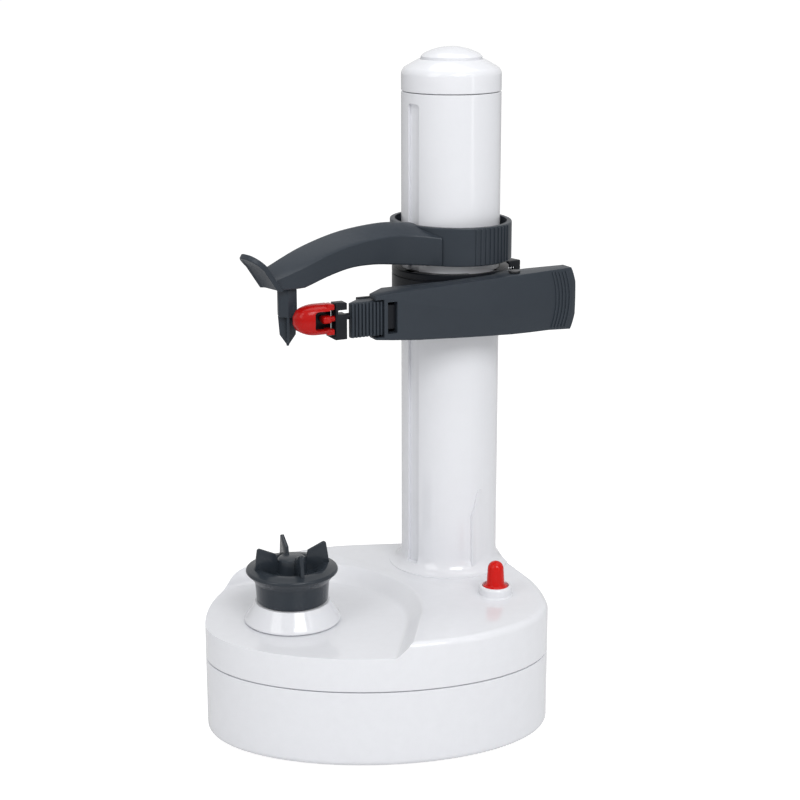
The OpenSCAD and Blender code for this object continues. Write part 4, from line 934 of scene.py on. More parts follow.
    def soften_open_edge(self, shell: Piece) -> None:
        """Rounds the edge of the dish's floor where it runs out at the front.

        Args:
            shell: The upper shell after the dish is cut.
        """
        rim = self.outline(0.0)
        edit(shell, select=False)
        bpy.ops.mesh.select_mode(type="EDGE")
        mesh = bmesh.from_edit_mesh(shell.data)
        for edge in mesh.edges:
            ends = edge.verts
            if all(abs(v.co.z - PLAN.dish_z) < 0.01 for v in ends) and len(edge.link_faces) == 2:
                if edge.calc_face_angle(0.0) > 1.2 and all(
                    min((v.co.x - x) ** 2 + (v.co.y - y) ** 2 for x, y in rim) < 9.0 for v in ends
                ):
                    edge.select = True
        bmesh.update_edit_mesh(shell.data)
        bpy.ops.mesh.bevel(offset=2.2, segments=5, affect="EDGES", clamp_overlap=True)
        bpy.ops.mesh.select_mode(type="VERT")
        done()

    def build_pan(self) -> None:
        """Models the lower shell and ties it to the frame."""
        rings = []
        for a in range(90, -1, -15):
            lean = math.radians(a)
            rings.append(self.ring(self.edge_r * (1 - math.cos(lean)),
                                   self.foot_stand + self.edge_r * (1 - math.sin(lean))))
        rings += [self.ring(0.0, PLAN.parting_z - 0.3), self.ring(0.3, PLAN.parting_z)]
        pan = lofted(rings)
        low, high, lip = self.bay_low, self.bay_high, self.door_lip
        combine(pan, Join.CUT,
                lofted([self.ring(self.wall, self.foot_stand + self.wall), self.ring(self.wall, 40)]))
        wall, pad, floor = self.bay_wall, self.door_pad, self.inner_floor
        roofed = block((low[0] - wall, low[1] - wall, floor),
                       (high[0] + wall, high[1] + wall, self.bay_roof + wall))
        frame_pad = block((low[0] - lip - pad, low[1] - lip - pad, floor),
                          (high[0] + 2 * lip + pad, high[1] + lip + pad, floor + 1.6))
        combine(pan, Join.ADD, frame_pad, roofed)
        combine(pan, Join.CUT, block((low[0], low[1], -1), (high[0], high[1], self.bay_roof)),
                block((low[0] - lip, low[1] - lip, -1), (high[0] + 2 * lip, high[1] + lip, 3)),
                rod(12.2, 4.1, self.post_top, self.motor), *at_each(self.feet, 5.05, 0, 2.2, 48),
                *at_each(self.bosses, 3.2, 0, 4))
        studs = [*at_each(self.bosses, self.stud_r, floor, 32),
                 *at_each(self.posts[:2], self.post_r, self.bay_roof + 1.5, self.post_top),
                 *at_each(self.posts[2:], self.post_r, floor, self.post_top),
                 rod(8.9, floor, 4.1, self.motor, 48)]
        settle(merged([pan, *studs]), "lower_shell", SHELL, "frame", ["base_pan"], 28)

    def build_underside(self) -> None:
        """Models the rubber feet and the battery cover."""
        foot = spun([(0, 0), *arc((4.3, 0.7), 0.7, -90, 0, 4), (5, 2.15), (0, 2.15)], (0, 0), 48)
        feet = repeated(foot, (Matrix.Translation((x, y, 0)) for x, y in self.feet))
        settle(merged(feet), "feet", RUBBER, "frame", ["rubber_feet"])
        low, high, lip = self.bay_low, self.bay_high, self.door_lip
        cover = block((low[0] - lip + 0.2, low[1] - lip + 0.2, self.foot_stand),
                      (high[0] + 2 * lip - 0.2, high[1] + lip - 0.2, 3.0))
        screw_at = (high[0] + 1.7 - 0.3, (low[1] + high[1]) / 2)
        combine(cover, Join.CUT, rod(1.4, 0, 6, screw_at, 32), rod(2.6, 0, 2, screw_at, 40))
        for k in range(self.door_grooves):
            x = low[0] + 8 + k * 3.2
            combine(cover, Join.CUT, block((x, low[1] + 12, 0), (x + 1.4, high[1] - 12, 1.5)))
        rounded(cover, 0.25)
        settle(cover, "battery_cover", SHELL, "frame", ["battery_door"])


# ---------------------------------------------------------------- column


@dataclass
class Column:
    """The white column with its foot, groove, rear slot, ramp, cap and crown."""

    foot_r: float = 28.0
    flare: float = 5.8
    groove_w: float = 7.0
    groove_d: float = 1.6
    groove_top: float = 271.3
    groove_turn: float = 1.3
    slot_w: float = 9.6
    slot_z: Point2 = (82.0, 258.0)
    ramp_angle: float = -53.0
    ramp_top: float = 96.5
    ramp_shift: float = 4.5
    ramp_shift_dir: float = -132.0
    crown_r: float = 13.6
    crown_h: float = 5.4
    crown_seat_z: float = 288.6
    cap_side_h: float = 7.0
    cap_arc_r: float = 4.0
    spigot_r: float = 19.65
    bush_r: float = 6.22

    def build_tube(self, base: BaseShells) -> None:
        """Models the tube and ties it to the frame.

        Args:
            base: The base, whose back the foot is cut flush with.
        """
        deck, top, r = PLAN.deck_z, PLAN.seam_z, PLAN.col_r
        profile = [(0, deck), (self.foot_r - 0.05, deck), (self.foot_r, deck + 0.05)]
        for k in range(13):
            a = math.radians(7.5 * k)
            profile.append((r + self.flare * (1 - math.sin(a)),
                            deck + 0.3 + (self.flare + 1.5) * (1 - math.cos(a))))
        profile += [(r, top - 0.25), (r - 0.25, top), (0, top)]
        tube = spun(profile, sides=180)
        combine(tube, Join.KEEP, prism(base.outline(1.5), deck - 2, top + 5))
        way, tip = math.radians(self.ramp_shift_dir), self.ramp_top
        ramp = rod(r, deck, tip + 2, (self.ramp_shift * math.cos(way), self.ramp_shift * math.sin(way)), 180)
        mask = prism([(-4.4, deck + 1), (-4.4, tip - 12), (-1, tip), (6, tip), (6, deck + 1)], 12, 28,
                     turned(self.ramp_angle) @ ALONG_X)
        combine(ramp, Join.KEEP, mask)
        combine(tube, Join.ADD, ramp)
        spindle = PLAN.upper_frame
        half = self.groove_w / 2
        turn_r, turn_z = self.groove_turn, self.groove_top - self.groove_turn
        groove = prism([(-half, deck + 3.4), (half, deck + 3.4), *arc((half - turn_r, turn_z), turn_r, 0, 90),
                        *arc((turn_r - half, turn_z), turn_r, 90, 180)],
                       r - self.groove_d, r + 6, spindle @ ALONG_X)
        slot = block((-30, -self.slot_w / 2, self.slot_z[0]), (-10, self.slot_w / 2, self.slot_z[1]), spindle)
        combine(tube, Join.CUT, rod(PLAN.col_bore, deck - 1, top + 1, sides=128), groove, slot)
        settle(tube, "column", WHITE, "frame", ["column_tube"], 25)

    def build_cap(self) -> None:
        """Models the cap and its crown, and ties both to the frame."""
        r, z, rim, seat_z = PLAN.col_r, PLAN.seam_z + 0.4, self.crown_r, self.crown_seat_z
        slope = arc((r - self.cap_arc_r, z + self.cap_side_h), self.cap_arc_r, 0, 60)
        cap = spun([(0, z - 6.4), (self.spigot_r, z - 6.4), (self.spigot_r, z), (r - 0.25, z), (r, z + 0.25),
                    *slope, (rim + 1.2, 289.65), (rim + 0.7, 289.8), (rim + 0.15, 289.7), (rim + 0.15, seat_z),
                    (0, seat_z)], sides=160)
        combine(cap, Join.CUT, rod(18.1, 268, 279.5, sides=96))
        combine(cap, Join.ADD, rod(8.2, 264.8, 284.8, sides=64))
        combine(cap, Join.CUT, rod(self.bush_r, 263, 270.8, sides=64), rod(3.6, 264, 275, sides=48))
        settle(cap, "column_top", WHITE, "frame", ["column_cap"], 25)
        edge_h = 1.6
        dome_h = self.crown_h - edge_h
        dome_r = (rim ** 2 + dome_h ** 2) / (2 * dome_h)
        half = math.degrees(math.asin(rim / dome_r))
        middle = (0.0, seat_z + 1.2 + edge_h + dome_h - dome_r)
        dome = arc(middle, dome_r, 90 - half * 11 / 12, 90, 11)
        side = middle[1] + dome_r * math.cos(math.radians(half)) - 0.5
        foot = seat_z + 0.02
        crown = spun([(0, foot), (rim - 0.2, foot), (rim, seat_z + 0.3), (rim, side), *dome])
        settle(crown, "crown", WHITE, "frame", ["cap_crown"], 25)


# ---------------------------------------------------------------- spindle and button


@dataclass
class Spindle:
    """The white skirt and the dark food holder that turn together."""

    skirt_r: float = 21.2
    skirt_z: float = 51.0
    holder_z: float = 59.8
    cup_r: float = 15.8
    flange_r: float = 20.2
    flange_z: float = 73.6
    fin_h: float = 11.0
    fin_angles: tuple[float, ...] = (20, 110, 200, 290)

    def build_skirt(self) -> None:
        """Models the skirt and ties it to the spindle."""
        z0, z1, r = self.skirt_z, self.holder_z - 0.2, self.skirt_r
        steps = 8
        flank = []
        for t in (k / steps for k in range(steps + 1)):
            flank.append((r - 0.3 - (r - 0.3 - self.cup_r - 0.6) * (t ** 0.9),
                          z0 + 1.0 + (z1 - z0 - 1.0) * t))
        skirt = spun([(4.05, z0), (8, z0), (8, z0 + 5), (r - 3.4, z0 + 5), (r - 1.8, z0), (r - 0.2, z0),
                      (r, z0 + 0.25), (r, z0 + 0.7), *flank, (3.2, z1), (3.2, z0 + 3), (4.05, z0 + 3)],
                     PLAN.spindle, 144)
        settle(skirt, "spindle_cone", WHITE, "spindle", ["spindle_skirt"], 30)

    def build_holder(self) -> None:
        """Models the food holder and ties it to the spindle."""
        z, r, top, tip = self.holder_z, self.cup_r, self.flange_z, self.flange_z + self.fin_h
        cup = spun([(0, z), (r - 1, z), *arc((r - 1, z + 0.9), 0.9, -80, 0, 4), (r + 0.5, top - 4.8),
                    (r + 0.9, top - 3.9), (r + 1.9, top - 2.9), (self.flange_r - 1.2, top - 1.0),
                    *arc((self.flange_r - 1.0, top + 0.15), 1.0, -55, 95, 7), (r + 1.2, top + 1.7),
                    (r - 1, top + 2.2), (r - 1.9, top + 2.0), (9.6, top - 0.5), (6.8, top - 0.5), (6.2, top + 5),
                    (5.6, top + 5.7), (4.8, top + 6), (0, top + 6)], PLAN.spindle, 128)
        fin = side_prism([(5, top - 1), (17.4, top - 1), (15.6, tip), (14.6, tip + 0.4), (7.4, tip - 2.8)],
                         -0.8, 0.8)
        rounded(fin, 0.3)
        spot = Matrix.Translation((*PLAN.spindle, 0))
        fins = repeated(fin, (spot @ turned(a) for a in self.fin_angles))
        combine(cup, Join.CUT, block((-3.05, -3.05, z - 1), (3.05, 3.05, z + 5.4), spot))
        settle(merged([cup, *fins]), "food_cup", CUP, "spindle", ["food_holder"], 30)


@dataclass
class StartButton:
    """The red push button in its collar."""

    dome_r: float = 3.9
    dome_h: float = 11.6
    flange_r: float = 5.5
    top_z: float = 61.4

    def build(self) -> None:
        """Models the button and ties it to its body."""
        z, r, rim = self.top_z, self.dome_r, self.flange_r
        dome = arc((0, z + self.dome_h - r), r - 0.3, 0, 84, 9)
        button = spun([(0, 48.6), (2, 48.6), (2.8, 49.6), (2.8, 51.4), (2, 51.4), (2, z - 1.4),
                       (rim - 0.2, z - 1.4), (rim, z - 1.2), (rim, z - 0.55), (rim - 0.25, z - 0.3),
                       (r + 1.0, z - 0.1), (r + 0.45, z + 0.25), (r + 0.15, z + 0.9), (r, z + 2.2), *dome,
                       (0, z + self.dome_h - 0.3)], PLAN.button, 72)
        settle(button, "push_button", RED, "button", ["start_button"], 32)


# ---------------------------------------------------------------- carriage and blade arm


@dataclass
class Carriage:
    """The black ring that slides on the column, with its lug and its release tab."""

    bore_r: float = 22.5
    lug_r: float = 3.2
    lug_h: float = 14.0
    pin_r: float = 1.63
    ramp_angle: float = -51.0
    stem_w: float = 8.6
    stem_rise: float = 0.6
    tab_w: float = 16.0
    tab_h: float = 15.5
    tab_grooves: int = 7
    spring_drop: float = 3.6
    travel: float = 2.5

    def build_ring(self) -> None:
        """Models the ring and ties it to the carriage."""
        z0, z1, r = PLAN.carriage_z, PLAN.carriage_z + PLAN.carriage_h, PLAN.carriage_r
        ring = spun([(10, z0), (r - 0.5, z0), (r, z0 + 0.5), (r, z1 - 3.4), (r - 0.5, z1 - 3.2),
                     (r - 0.5, z1 - 2.6), (r, z1 - 2.4), (r, z1 - 0.5), (r - 0.5, z1), (10, z1)], sides=160)
        arm, key, mid, half = PLAN.blade_frame, PLAN.upper_frame, PLAN.arm_z + self.stem_rise, self.stem_w / 2
        low, high = PLAN.arm_z - self.lug_h / 2, PLAN.arm_z + self.lug_h / 2
        combine(ring, Join.ADD, block((-self.lug_r, -15, low), (self.lug_r, 0, high), arm),
                rod(self.lug_r, low, high, sides=48, place=arm))
        combine(ring, Join.CUT, rod(self.bore_r, z0 - 1, z1 + 1, sides=160))
        relief = block((12, -8, z0 - 1), (27, 8, z1 + 1), turned(self.ramp_angle))
        combine(relief, Join.KEEP, rod(24.4, z0 - 1, z1 + 1, sides=120))
        window = block((-40, -half - 0.3, mid - 3.8), (-10, half + 0.3, mid + 3.8), key)
        combine(ring, Join.CUT, relief, window, rod(self.pin_r, z0, z1 + 1, sides=32, place=arm))
        rib = block((20.9, -3.2, z0), (25.5, 3.2, z1), key)
        rounded(rib, 0.3)
        settle(merged([ring, rib]), "slide_ring", BLACK, "carriage", ["carriage"], 28)

    def build_tab(self) -> None:
        """Models the release tab and ties it to the nut."""
        x0, half = PLAN.carriage_r + self.travel + 0.3, self.tab_w / 2
        z0 = PLAN.carriage_z + PLAN.carriage_h - self.tab_h - 1.2
        mid = PLAN.arm_z + self.stem_rise
        tab = block((x0, -half, z0), (x0 + 7.4, half, z0 + self.tab_h))
        rounded(tab, 0.7, 3)
        for z in (z0 + 2.2 + k * 1.7 for k in range(self.tab_grooves)):
            combine(tab, Join.CUT, block((x0 + 6.9, -half - 1, z), (x0 + 8, half + 1, z + 0.7)))
        stem = self.stem_w / 2 + 0.02
        combine(tab, Join.CUT, block((x0 - 2, -stem, mid - 3.52), (30.22, stem, mid + 3.52)))
        for y in (-6.5, 6.5):
            at = (0, y, z0 + self.tab_h - self.spring_drop)
            combine(tab, Join.CUT, cross_rod(1.7, x0 - 1, PLAN.carriage_r + 6.5, at))
        tab.data.transform(PLAN.upper_frame @ turned(180))
        settle(tab, "release_lever", BLACK, "nut", ["release_tab"], 30)


@dataclass
class BladeArm:
    """The slate blade arm with its thumb grip, seen in the frame whose +X points at the blade."""

    reach: float = 69.9
    thumb: float = 29.5
    blade_h: float = 19.0
    thumb_h: float = 28.0
    bulge: float = 3.6
    belly: float = 1.0
    ear_r: float = 6.4
    pin_r: float = 1.65
    rib_r: float = 34.0
    front: float = 5.5
    back_blade: float = -8.5
    back_mid: float = -3.6
    back_thumb: float = -1.0
    mid_x: float = 32.0
    end_cut: float = 9.0
    wall: float = 2.0
    fork_len: float = 4.1
    fork_h: float = 16.4
    play: float = 0.05
    window_w: float = 4.5
    window_h: float = 13.8

    def half(self, x: float) -> float:
        """Half-height of the arm at a distance along it."""
        run = self.reach + self.thumb - 4
        return self.blade_h / 2 + (self.thumb_h - self.blade_h) / 2 * (self.reach - x) / run

    def side(self, inset: float) -> list[Point2]:
        """Side view of the arm.

        Args:
            inset: How far its outline is moved in.

        Returns:
            Corners in X and Z.
        """
        end = self.reach - inset
        out = [(end, PLAN.arm_z - self.half(end) + inset), (end, PLAN.arm_z + self.half(end) - inset)]
        for k in range(12, -13, -1):
            share = k / 12
            out.append((-self.thumb + inset + self.bulge * share ** 2,
                        PLAN.arm_z + (self.thumb_h / 2 - inset) * share))
        for x, low in ((-self.thumb / 2, 0.0), (-5, 0.6), (4, 1.0), (25, 1.15), (50, 1.0), (62, 0.5)):
            out.append((x, PLAN.arm_z - self.half(x) - self.belly * low + inset))
        return out

    def build(self) -> None:
        """Models the arm and ties it to its body."""
        z = PLAN.arm_z
        plan = [(self.reach - self.end_cut, self.back_blade), (self.reach, -1), (self.reach, self.front),
                (-self.thumb + 3, self.front), (-self.thumb + 1, self.front - 0.6),
                (-self.thumb, self.front - 2), (-self.thumb, self.back_thumb), (-9, 1.2 - self.ear_r),
                (4, 0.6 - self.ear_r), (10, self.back_mid + 0.9), (self.mid_x, self.back_mid)]
        low, high = z - 30, z + 30
        arm = prism(plan, low, high)
        combine(arm, Join.ADD, rod(self.ear_r, low, high, sides=64))
        combine(arm, Join.KEEP, side_prism(self.side(0.0), -40, self.front))
        rounded(arm, 0.8, 3, 24)
        fork = self.reach - self.fork_len
        hollow = side_prism(self.side(self.wall), -40, self.front - self.wall)
        combine(hollow, Join.KEEP, block((-14, -50, z - 40), (fork - 3.2 - self.window_w, 40, z + 40)))
        grip, side = z - 0.5, fork - 1.6
        wide, tall = (half + self.play for half in PLAN.tongue)
        window = block((side - self.window_w, -3.0, grip - self.window_h / 2),
                       (side, 7.5, grip + self.window_h / 2))
        rounded(window, 0.3)
        combine(arm, Join.CUT, hollow, window,
                block((fork, -25, grip - self.fork_h / 2), (fork + 8, 25, grip + self.fork_h / 2)),
                block((fork - 3, -wide, grip - tall), (fork + 1, wide, grip + tall)),
                rod(self.pin_r, low, high, sides=32))
        arm.data.transform(PLAN.blade_frame)
        ribs = [self.thumb_rib(k) for k in range(1, 6)]
        settle(merged([arm, *ribs]), "blade_arm", SLATE, "peel_arm", ["peel_arm"], 26)

    def thumb_rib(self, k: int) -> Piece:
        """One curved rib of the thumb grip.

        Args:
            k: Number of the rib, from the thumb end.

        Returns:
            The rib, in the object's frame.
        """
        x0 = -self.thumb + 1.8 + k * 1.7
        left, right = [], []
        for j in range(-8, 9):
            rise = (self.thumb_h / 2 - 1.4) * j / 8
            x = x0 + self.rib_r - math.sqrt(self.rib_r ** 2 - rise ** 2)
            left.append((x, PLAN.arm_z + rise))
            right.append((x + 0.9, PLAN.arm_z + rise))
        rib = side_prism(left + right[::-1], self.front - 0.5, self.front + 0.4)
        rounded(rib, 0.2, 2, 40)
        rib.data.transform(PLAN.blade_frame)
        return rib


@dataclass
class BladeHead:
    """The grip block, its yoke and the red cartridge with the steel blade."""

    block_x: float = 65.9
    block_len: float = 14.9
    block_h: float = 15.0
    back: float = -4.2
    front: float = 4.6
    cut: float = 6.4
    ribs: int = 9
    clip_len: float = 7.8
    neck_r: float = 1.4
    neck_len: float = 2.5
    yoke_len: float = 5.2
    yoke_low: float = 9.0
    yoke_high: float = 6.7
    swivel_y: float = 4.0
    swivel_z: float = 186.8
    pin_r: float = 1.2
    cart_len: float = 16.6
    cart_h: float = 13.0
    cart_t: float = 7.6
    mouth_len: float = 9.3
    blade_slant: float = 1.9

    @property
    def yoke_x(self) -> float:
        """Where the yoke begins along the arm."""
        return self.block_x + self.block_len + self.neck_len

    @property
    def body_x(self) -> float:
        """Where the cartridge begins along the arm."""
        return self.yoke_x + self.yoke_len + 0.6

    def build_holder(self) -> None:
        """Models the holder and ties it to the blade arm."""
        z = PLAN.arm_z - 0.5
        z0, z1 = z - self.block_h / 2, z + self.block_h / 2
        end = self.block_x + self.block_len
        x0, back, front = self.block_x, self.back, self.front
        body = prism([(x0, back), (end - self.cut, back), (end, 1.6), (end, front - 0.9), (x0, front - 0.9)],
                     z0, z1)
        rounded(body, 0.35)
        pitch = self.block_len / self.ribs
        parts = [body]
        for x in (x0 + (k + 0.18) * pitch for k in range(self.ribs)):
            rib = block((x, front - 1.1, z0 + 0.1), (x + pitch * 0.62, front, z1 - 0.1))
            parts.append(rounded(rib, 0.28, 2))
        self.mount(merged(parts), "grip_block", SLATE, "peel_arm", "blade_holder")
        wide, tall = PLAN.tongue
        tongue = block((x0 - 6, -wide, z - tall), (x0 + 0.1, wide, z + tall))
        clip = block((x0, back - 2.8, z0 - 0.3), (x0 + self.clip_len, back + 0.1, z1 + 0.3))
        rounded(clip, 0.3)
        neck = cross_rod(self.neck_r, 0, self.neck_len + 0.4,
                         (end - 0.2, self.swivel_y - 2, self.swivel_z))
        holder = merged([tongue, clip, neck, self.yoke()])
        self.mount(holder, "blade_yoke", BLACK, "peel_arm", "blade_holder")

    def mount(self, obj: Piece, name: str, finish: Finish, body: str, node: str,
              smooth: float = 30.0) -> None:
        """Moves a finished piece to the blade arm's place and settles it.

        Args:
            obj: The piece, in the blade arm's frame.
            name: Its name.
            finish: Its material.
            body: The body that it rides on.
            node: The frame's node that it stands for.
            smooth: Largest turn between faces that is shaded smooth, in degrees.
        """
        obj.data.transform(PLAN.blade_frame)
        settle(obj, name, finish, body, [node], smooth)

    def yoke(self) -> Piece:
        """The yoke with its hub, fingers and toe.

        Returns:
            The yoke, in the blade arm's frame.
        """
        y0, y1, zc = self.swivel_y - 3.6, self.swivel_y + 2.0, self.swivel_z
        x0, x1 = self.yoke_x, self.yoke_x + self.yoke_len
        low, high = zc - self.yoke_low, zc + self.yoke_high
        outline = [(x0, low), (x1, low), (x1 + 2.6, low + 1.5), (x1, low + 1.5), (x1, high), (x0, high),
                   (x0, high - 3), (x1 - 1.2, high - 3), (x1 - 1.2, zc + 1.8), (x0, zc + 1.8)]
        piece = side_prism(outline, y0, y1)
        rounded(piece, 0.25)
        return combine(piece, Join.CUT, cross_rod(self.pin_r + 0.06, x1 - 3.4, x1 + 3, (0, self.swivel_y, zc)))

    def build_cartridge(self) -> None:
        """Models the cartridge and its blade, and ties both to their body."""
        x0, zc, yc = self.body_x, self.swivel_z, self.swivel_y
        half, low, high = self.cart_h / 2, zc - self.cart_h / 2, zc + self.cart_h / 2
        back, front = yc - self.cart_t / 2, yc + self.cart_t / 2
        rings = []
        for t in (k / 10 for k in range(11)):
            size = math.sqrt(max(0.0, 1 - max(0.0, (t - 0.36) / 0.64) ** 2.0))
            rings.append(self.section(x0 + 2.2 + (self.cart_len - 2.2) * t, half * (0.26 + 0.74 * size), back,
                                      back + (front - back) * (0.35 + 0.65 * size)))
        shell = lofted(rings)
        inner = lofted([self.section(x0 + x, half - side, back - 3, front - skin)
                        for x, side, skin in ((-1, 1.9, 1.6), (9.5, 1.9, 1.6), (12.5, 3.4, 3.2))])
        mouth = block((x0 - 3, yc - 1.9, low + 2.4), (x0 + self.mouth_len, front + 3, high - 2.4))
        rounded(mouth, 1.6, 4)
        combine(shell, Join.CUT, inner, mouth)
        rounded(shell, 0.25, 2, 40)
        fingers = []
        for z0, z1 in ((high - 2.3, high), (low, low + 2.3)):
            fingers.append(rounded(block((x0, back + 0.2, z0), (x0 + 3.4, front - 1.6, z1)), 0.4))
        tongue = block((x0 + 0.9, back + 0.7, zc - 1.6), (x0 + 5.2, yc + 2.2, zc + 1.6))
        fingers.append(rounded(tongue, 1.1, 4))
        pin = cross_rod(self.pin_r, x0 - 3.9, x0 + 2.3, (0, yc, zc))
        self.mount(merged([shell, *fingers, pin]), "blade_guard", SHADED_GUARD_RED, "cartridge", "blade_cartridge", 34)
        # A thin black sheet across the back of the mouth, painted shade: it covers the blade there so the inside
        # of the mouth stays dark as if in shadow
        seat = block((x0 - 0.45, back + 0.05, low + 1.6), (x0 + 10.5, back + 0.75, high - 1.6))
        self.mount(rounded(seat, 0.2), "mouth_shade_sheet", BLACK, "cartridge", "blade_cartridge")
        start, end, slant = x0 + 0.6, x0 + 0.4 + self.cart_len - (half - 1.5), self.blade_slant
        foot, tip = low + 0.4, high - 0.4
        blade = side_prism([(start, foot), (end - slant, foot), (end, foot + slant), (end, tip - slant),
                            (end - slant, tip), (start, tip)], back - 0.5, back)
        combine(blade, Join.CUT, block((x0 + 3, back - 2, low + 2.8), (x0 + 4.4, back + 2, high - 2.8)))
        self.mount(rounded(blade, 0.12, 2), "cutting_blade", BLADE, "cartridge", "peeler_blade")

    def section(self, x: float, half: float, back: float, front: float) -> list[Point3]:
        """A half-barrel section across the cartridge.

        Args:
            x: Place along the arm.
            half: Half of its height.
            back: Its flat side.
            front: Its bulging side.

        Returns:
            The ring's corners.
        """
        knee, bulge, steps = back + 0.2 * (front - back), 0.8 * (front - back), 16
        out = [(x, back, self.swivel_z - half), (x, knee, self.swivel_z - half)]
        for k in range(1, steps):
            a = math.radians(-90 + k * 180 / steps)
            c, s = math.cos(a), math.sin(a)
            out.append((x, knee + bulge * c ** 0.62, self.swivel_z + half * math.copysign(abs(s) ** 0.8, s)))
        return out + [(x, knee, self.swivel_z + half), (x, back, self.swivel_z + half)]


# ---------------------------------------------------------------- upper arm


@dataclass
class UpperArm:
    """The slate upper arm: an oval collar, the arched arm and the thumb paddle."""

    half_a: float = 29.4
    half_b: float = 25.8
    wall: float = 2.2
    tip_z: float = 199.8
    rib_count: int = 9
    rib_step: float = 5.2
    end_lean: float = 34.0
    end_x: float = 98.8
    bow_r: float = 49.0
    bow_lean: float = 60.0
    paddle_w: float = 6.6
    paddle_x: float = 113.0
    plate: tuple[Point2, ...] = ((0.2, -0.5), (0.6, -0.5), (0.82, -0.7), (0.9, -1.1), (0.96, -1.2), (1.0, -0.8),
                                 (1.0, 0.8), (0.975, 1.1), (0.93, 1.2), (0.5, 1.2), (0.2, 1.2))
    pin_h: float = 12.0
    pin_turn: float = 10.0
    stations: tuple[tuple[float, float, float, float, float], ...] = (
        (21, 202.3, 214.4, 219.4, 18.4), (31, 203.0, 215.8, 220.8, 11.6), (40, 204.0, 216.4, 221.6, 9.0),
        (52, 205.4, 216.2, 221.4, 8.8), (64, 205.4, 215.0, 220.4, 8.5), (76, 203.2, 212.4, 218.2, 8.1),
        (88.2, 199.8, 208.6, 214.9, 7.5), (104.7, 199.8, 203.4, 208.7, 4.6))

    def station(self, x: float) -> tuple[float, ...]:
        """Sizes of the arm at one distance, on a smooth curve through the stations.

        Args:
            x: Distance from the column.

        Returns:
            The distance, then the heights of underside, ridge and crown, and the half width.
        """
        rows = self.stations
        k = max(j for j in range(len(rows) - 1) if rows[j][0] <= x + 1e-6)
        a, b = rows[k], rows[k + 1]
        before, after = rows[max(k - 1, 0)], rows[min(k + 2, len(rows) - 1)]
        span = b[0] - a[0]
        t = (x - a[0]) / span
        out = [x]
        for j in range(1, 5):
            ma = (b[j] - before[j]) / max(b[0] - before[0], 1e-6) * span
            mb = (after[j] - a[j]) / max(after[0] - a[0], 1e-6) * span
            if j == 1 and b[1] <= self.tip_z:
                mb = b[1] - a[1]
            out.append((2 * t ** 3 - 3 * t ** 2 + 1) * a[j] + (t ** 3 - 2 * t ** 2 + t) * ma
                       + (3 * t ** 2 - 2 * t ** 3) * b[j] + (t ** 3 - t ** 2) * mb)
        return tuple(out)

    def ring(self, x: float) -> list[Point3]:
        """Section of the arm at one distance.

        Args:
            x: Distance from the column.

        Returns:
            The ring's corners.
        """
        _, low, ridge, crown, w = self.station(x)
        low = max(low, self.tip_z)
        side = [(w - 0.7, low), (w - 0.2, low + 0.2), (w, low + 0.7), (w, ridge - 0.1), (w - 0.22, ridge + 0.3)]
        foot = ridge + 0.3
        side += [(u * w, foot + (crown - foot) * (1 - u ** 1.3)) for u in (0.9, 0.68, 0.5, 0.33, 0.18, 0.06)]
        return [(x, y, z) for y, z in side] + [(x, -y, z) for y, z in reversed(side)]

    def build(self) -> None:
        """Models the arm and ties it to its body."""
        steps = 30
        x0, x1 = self.stations[0][0], self.stations[-1][0]
        root = [(x0, y * 0.98, z - 0.3 if z > 210 else z + 0.3) for _, y, z in self.ring(x0)]
        arm = lofted([root, [(x0 + 0.35, y, z) for _, y, z in self.ring(x0)],
                      *[self.ring(x0 + (x1 - x0) * k / steps) for k in range(1, steps + 1)]])
        lean = math.radians(self.end_lean)
        trimmed(arm, (self.end_x, 0, self.tip_z), (math.cos(lean), 0, -math.sin(lean)))
        z0, z1 = PLAN.collar_z, PLAN.collar_z + PLAN.collar_h
        levels = ((0.5, z0), (0.15, z0 + 0.15), (0, z0 + 0.5), (0, z1 - 0.5), (0.15, z1 - 0.15), (0.5, z1))
        collar = lofted([[(x, y, z) for x, y in ellipse(self.half_b - inset, self.half_a - inset)]
                         for inset, z in levels])
        combine(collar, Join.ADD, arm)
        bore = ellipse(self.half_b - self.wall, self.half_a - self.wall)
        combine(collar, Join.CUT, prism(bore, z0 - 1, z1 + 8),
                rod(2.55, self.tip_z - 3, self.tip_z + 7.6, (PLAN.spindle_dist, 0), 48))
        rib = rounded(block((-0.8, -0.5, z0 + 0.5), (0.5, 0.5, z1 - 0.5)), 0.25, 2)
        turns = [math.radians(side + (k - (self.rib_count - 1) / 2) * self.rib_step)
                 for side in (90, -90) for k in range(self.rib_count)]
        ribs = repeated(rib, (Matrix.Translation((self.half_b * math.cos(a), self.half_a * math.sin(a), 0))
                              @ Matrix.Rotation(a, 4, "Z") for a in turns))
        piece = merged([collar, self.paddle(), *ribs])
        piece.data.transform(PLAN.upper_frame)
        settle(piece, "upper_arm_moulding", SLATE, "upper_arm", ["upper_arm"], 17)

    def paddle(self) -> Piece:
        """The thumb paddle, bowed over towards its round end, with a thick rim.

        Returns:
            The paddle, in the frame whose +X points at the spindle.
        """
        end_r, w, heel, middle = 5.0, self.paddle_w, self.end_x - 2.5, self.end_x + 7.5
        hub_x, hub_y = self.paddle_x - end_r, w - end_r
        oval = [(heel, w), (heel, -w), *arc((hub_x, -hub_y), end_r, -90, 0, 8),
                *arc((hub_x, hub_y), end_r, 0, 90, 8)]
        rings = []
        for size, lift in self.plate:
            rings.append([self.bowed(middle + (x - middle) * size, y * size, lift) for x, y in oval])
        return trimmed(lofted(rings), (0, 0, self.tip_z), (0, 0, -1))

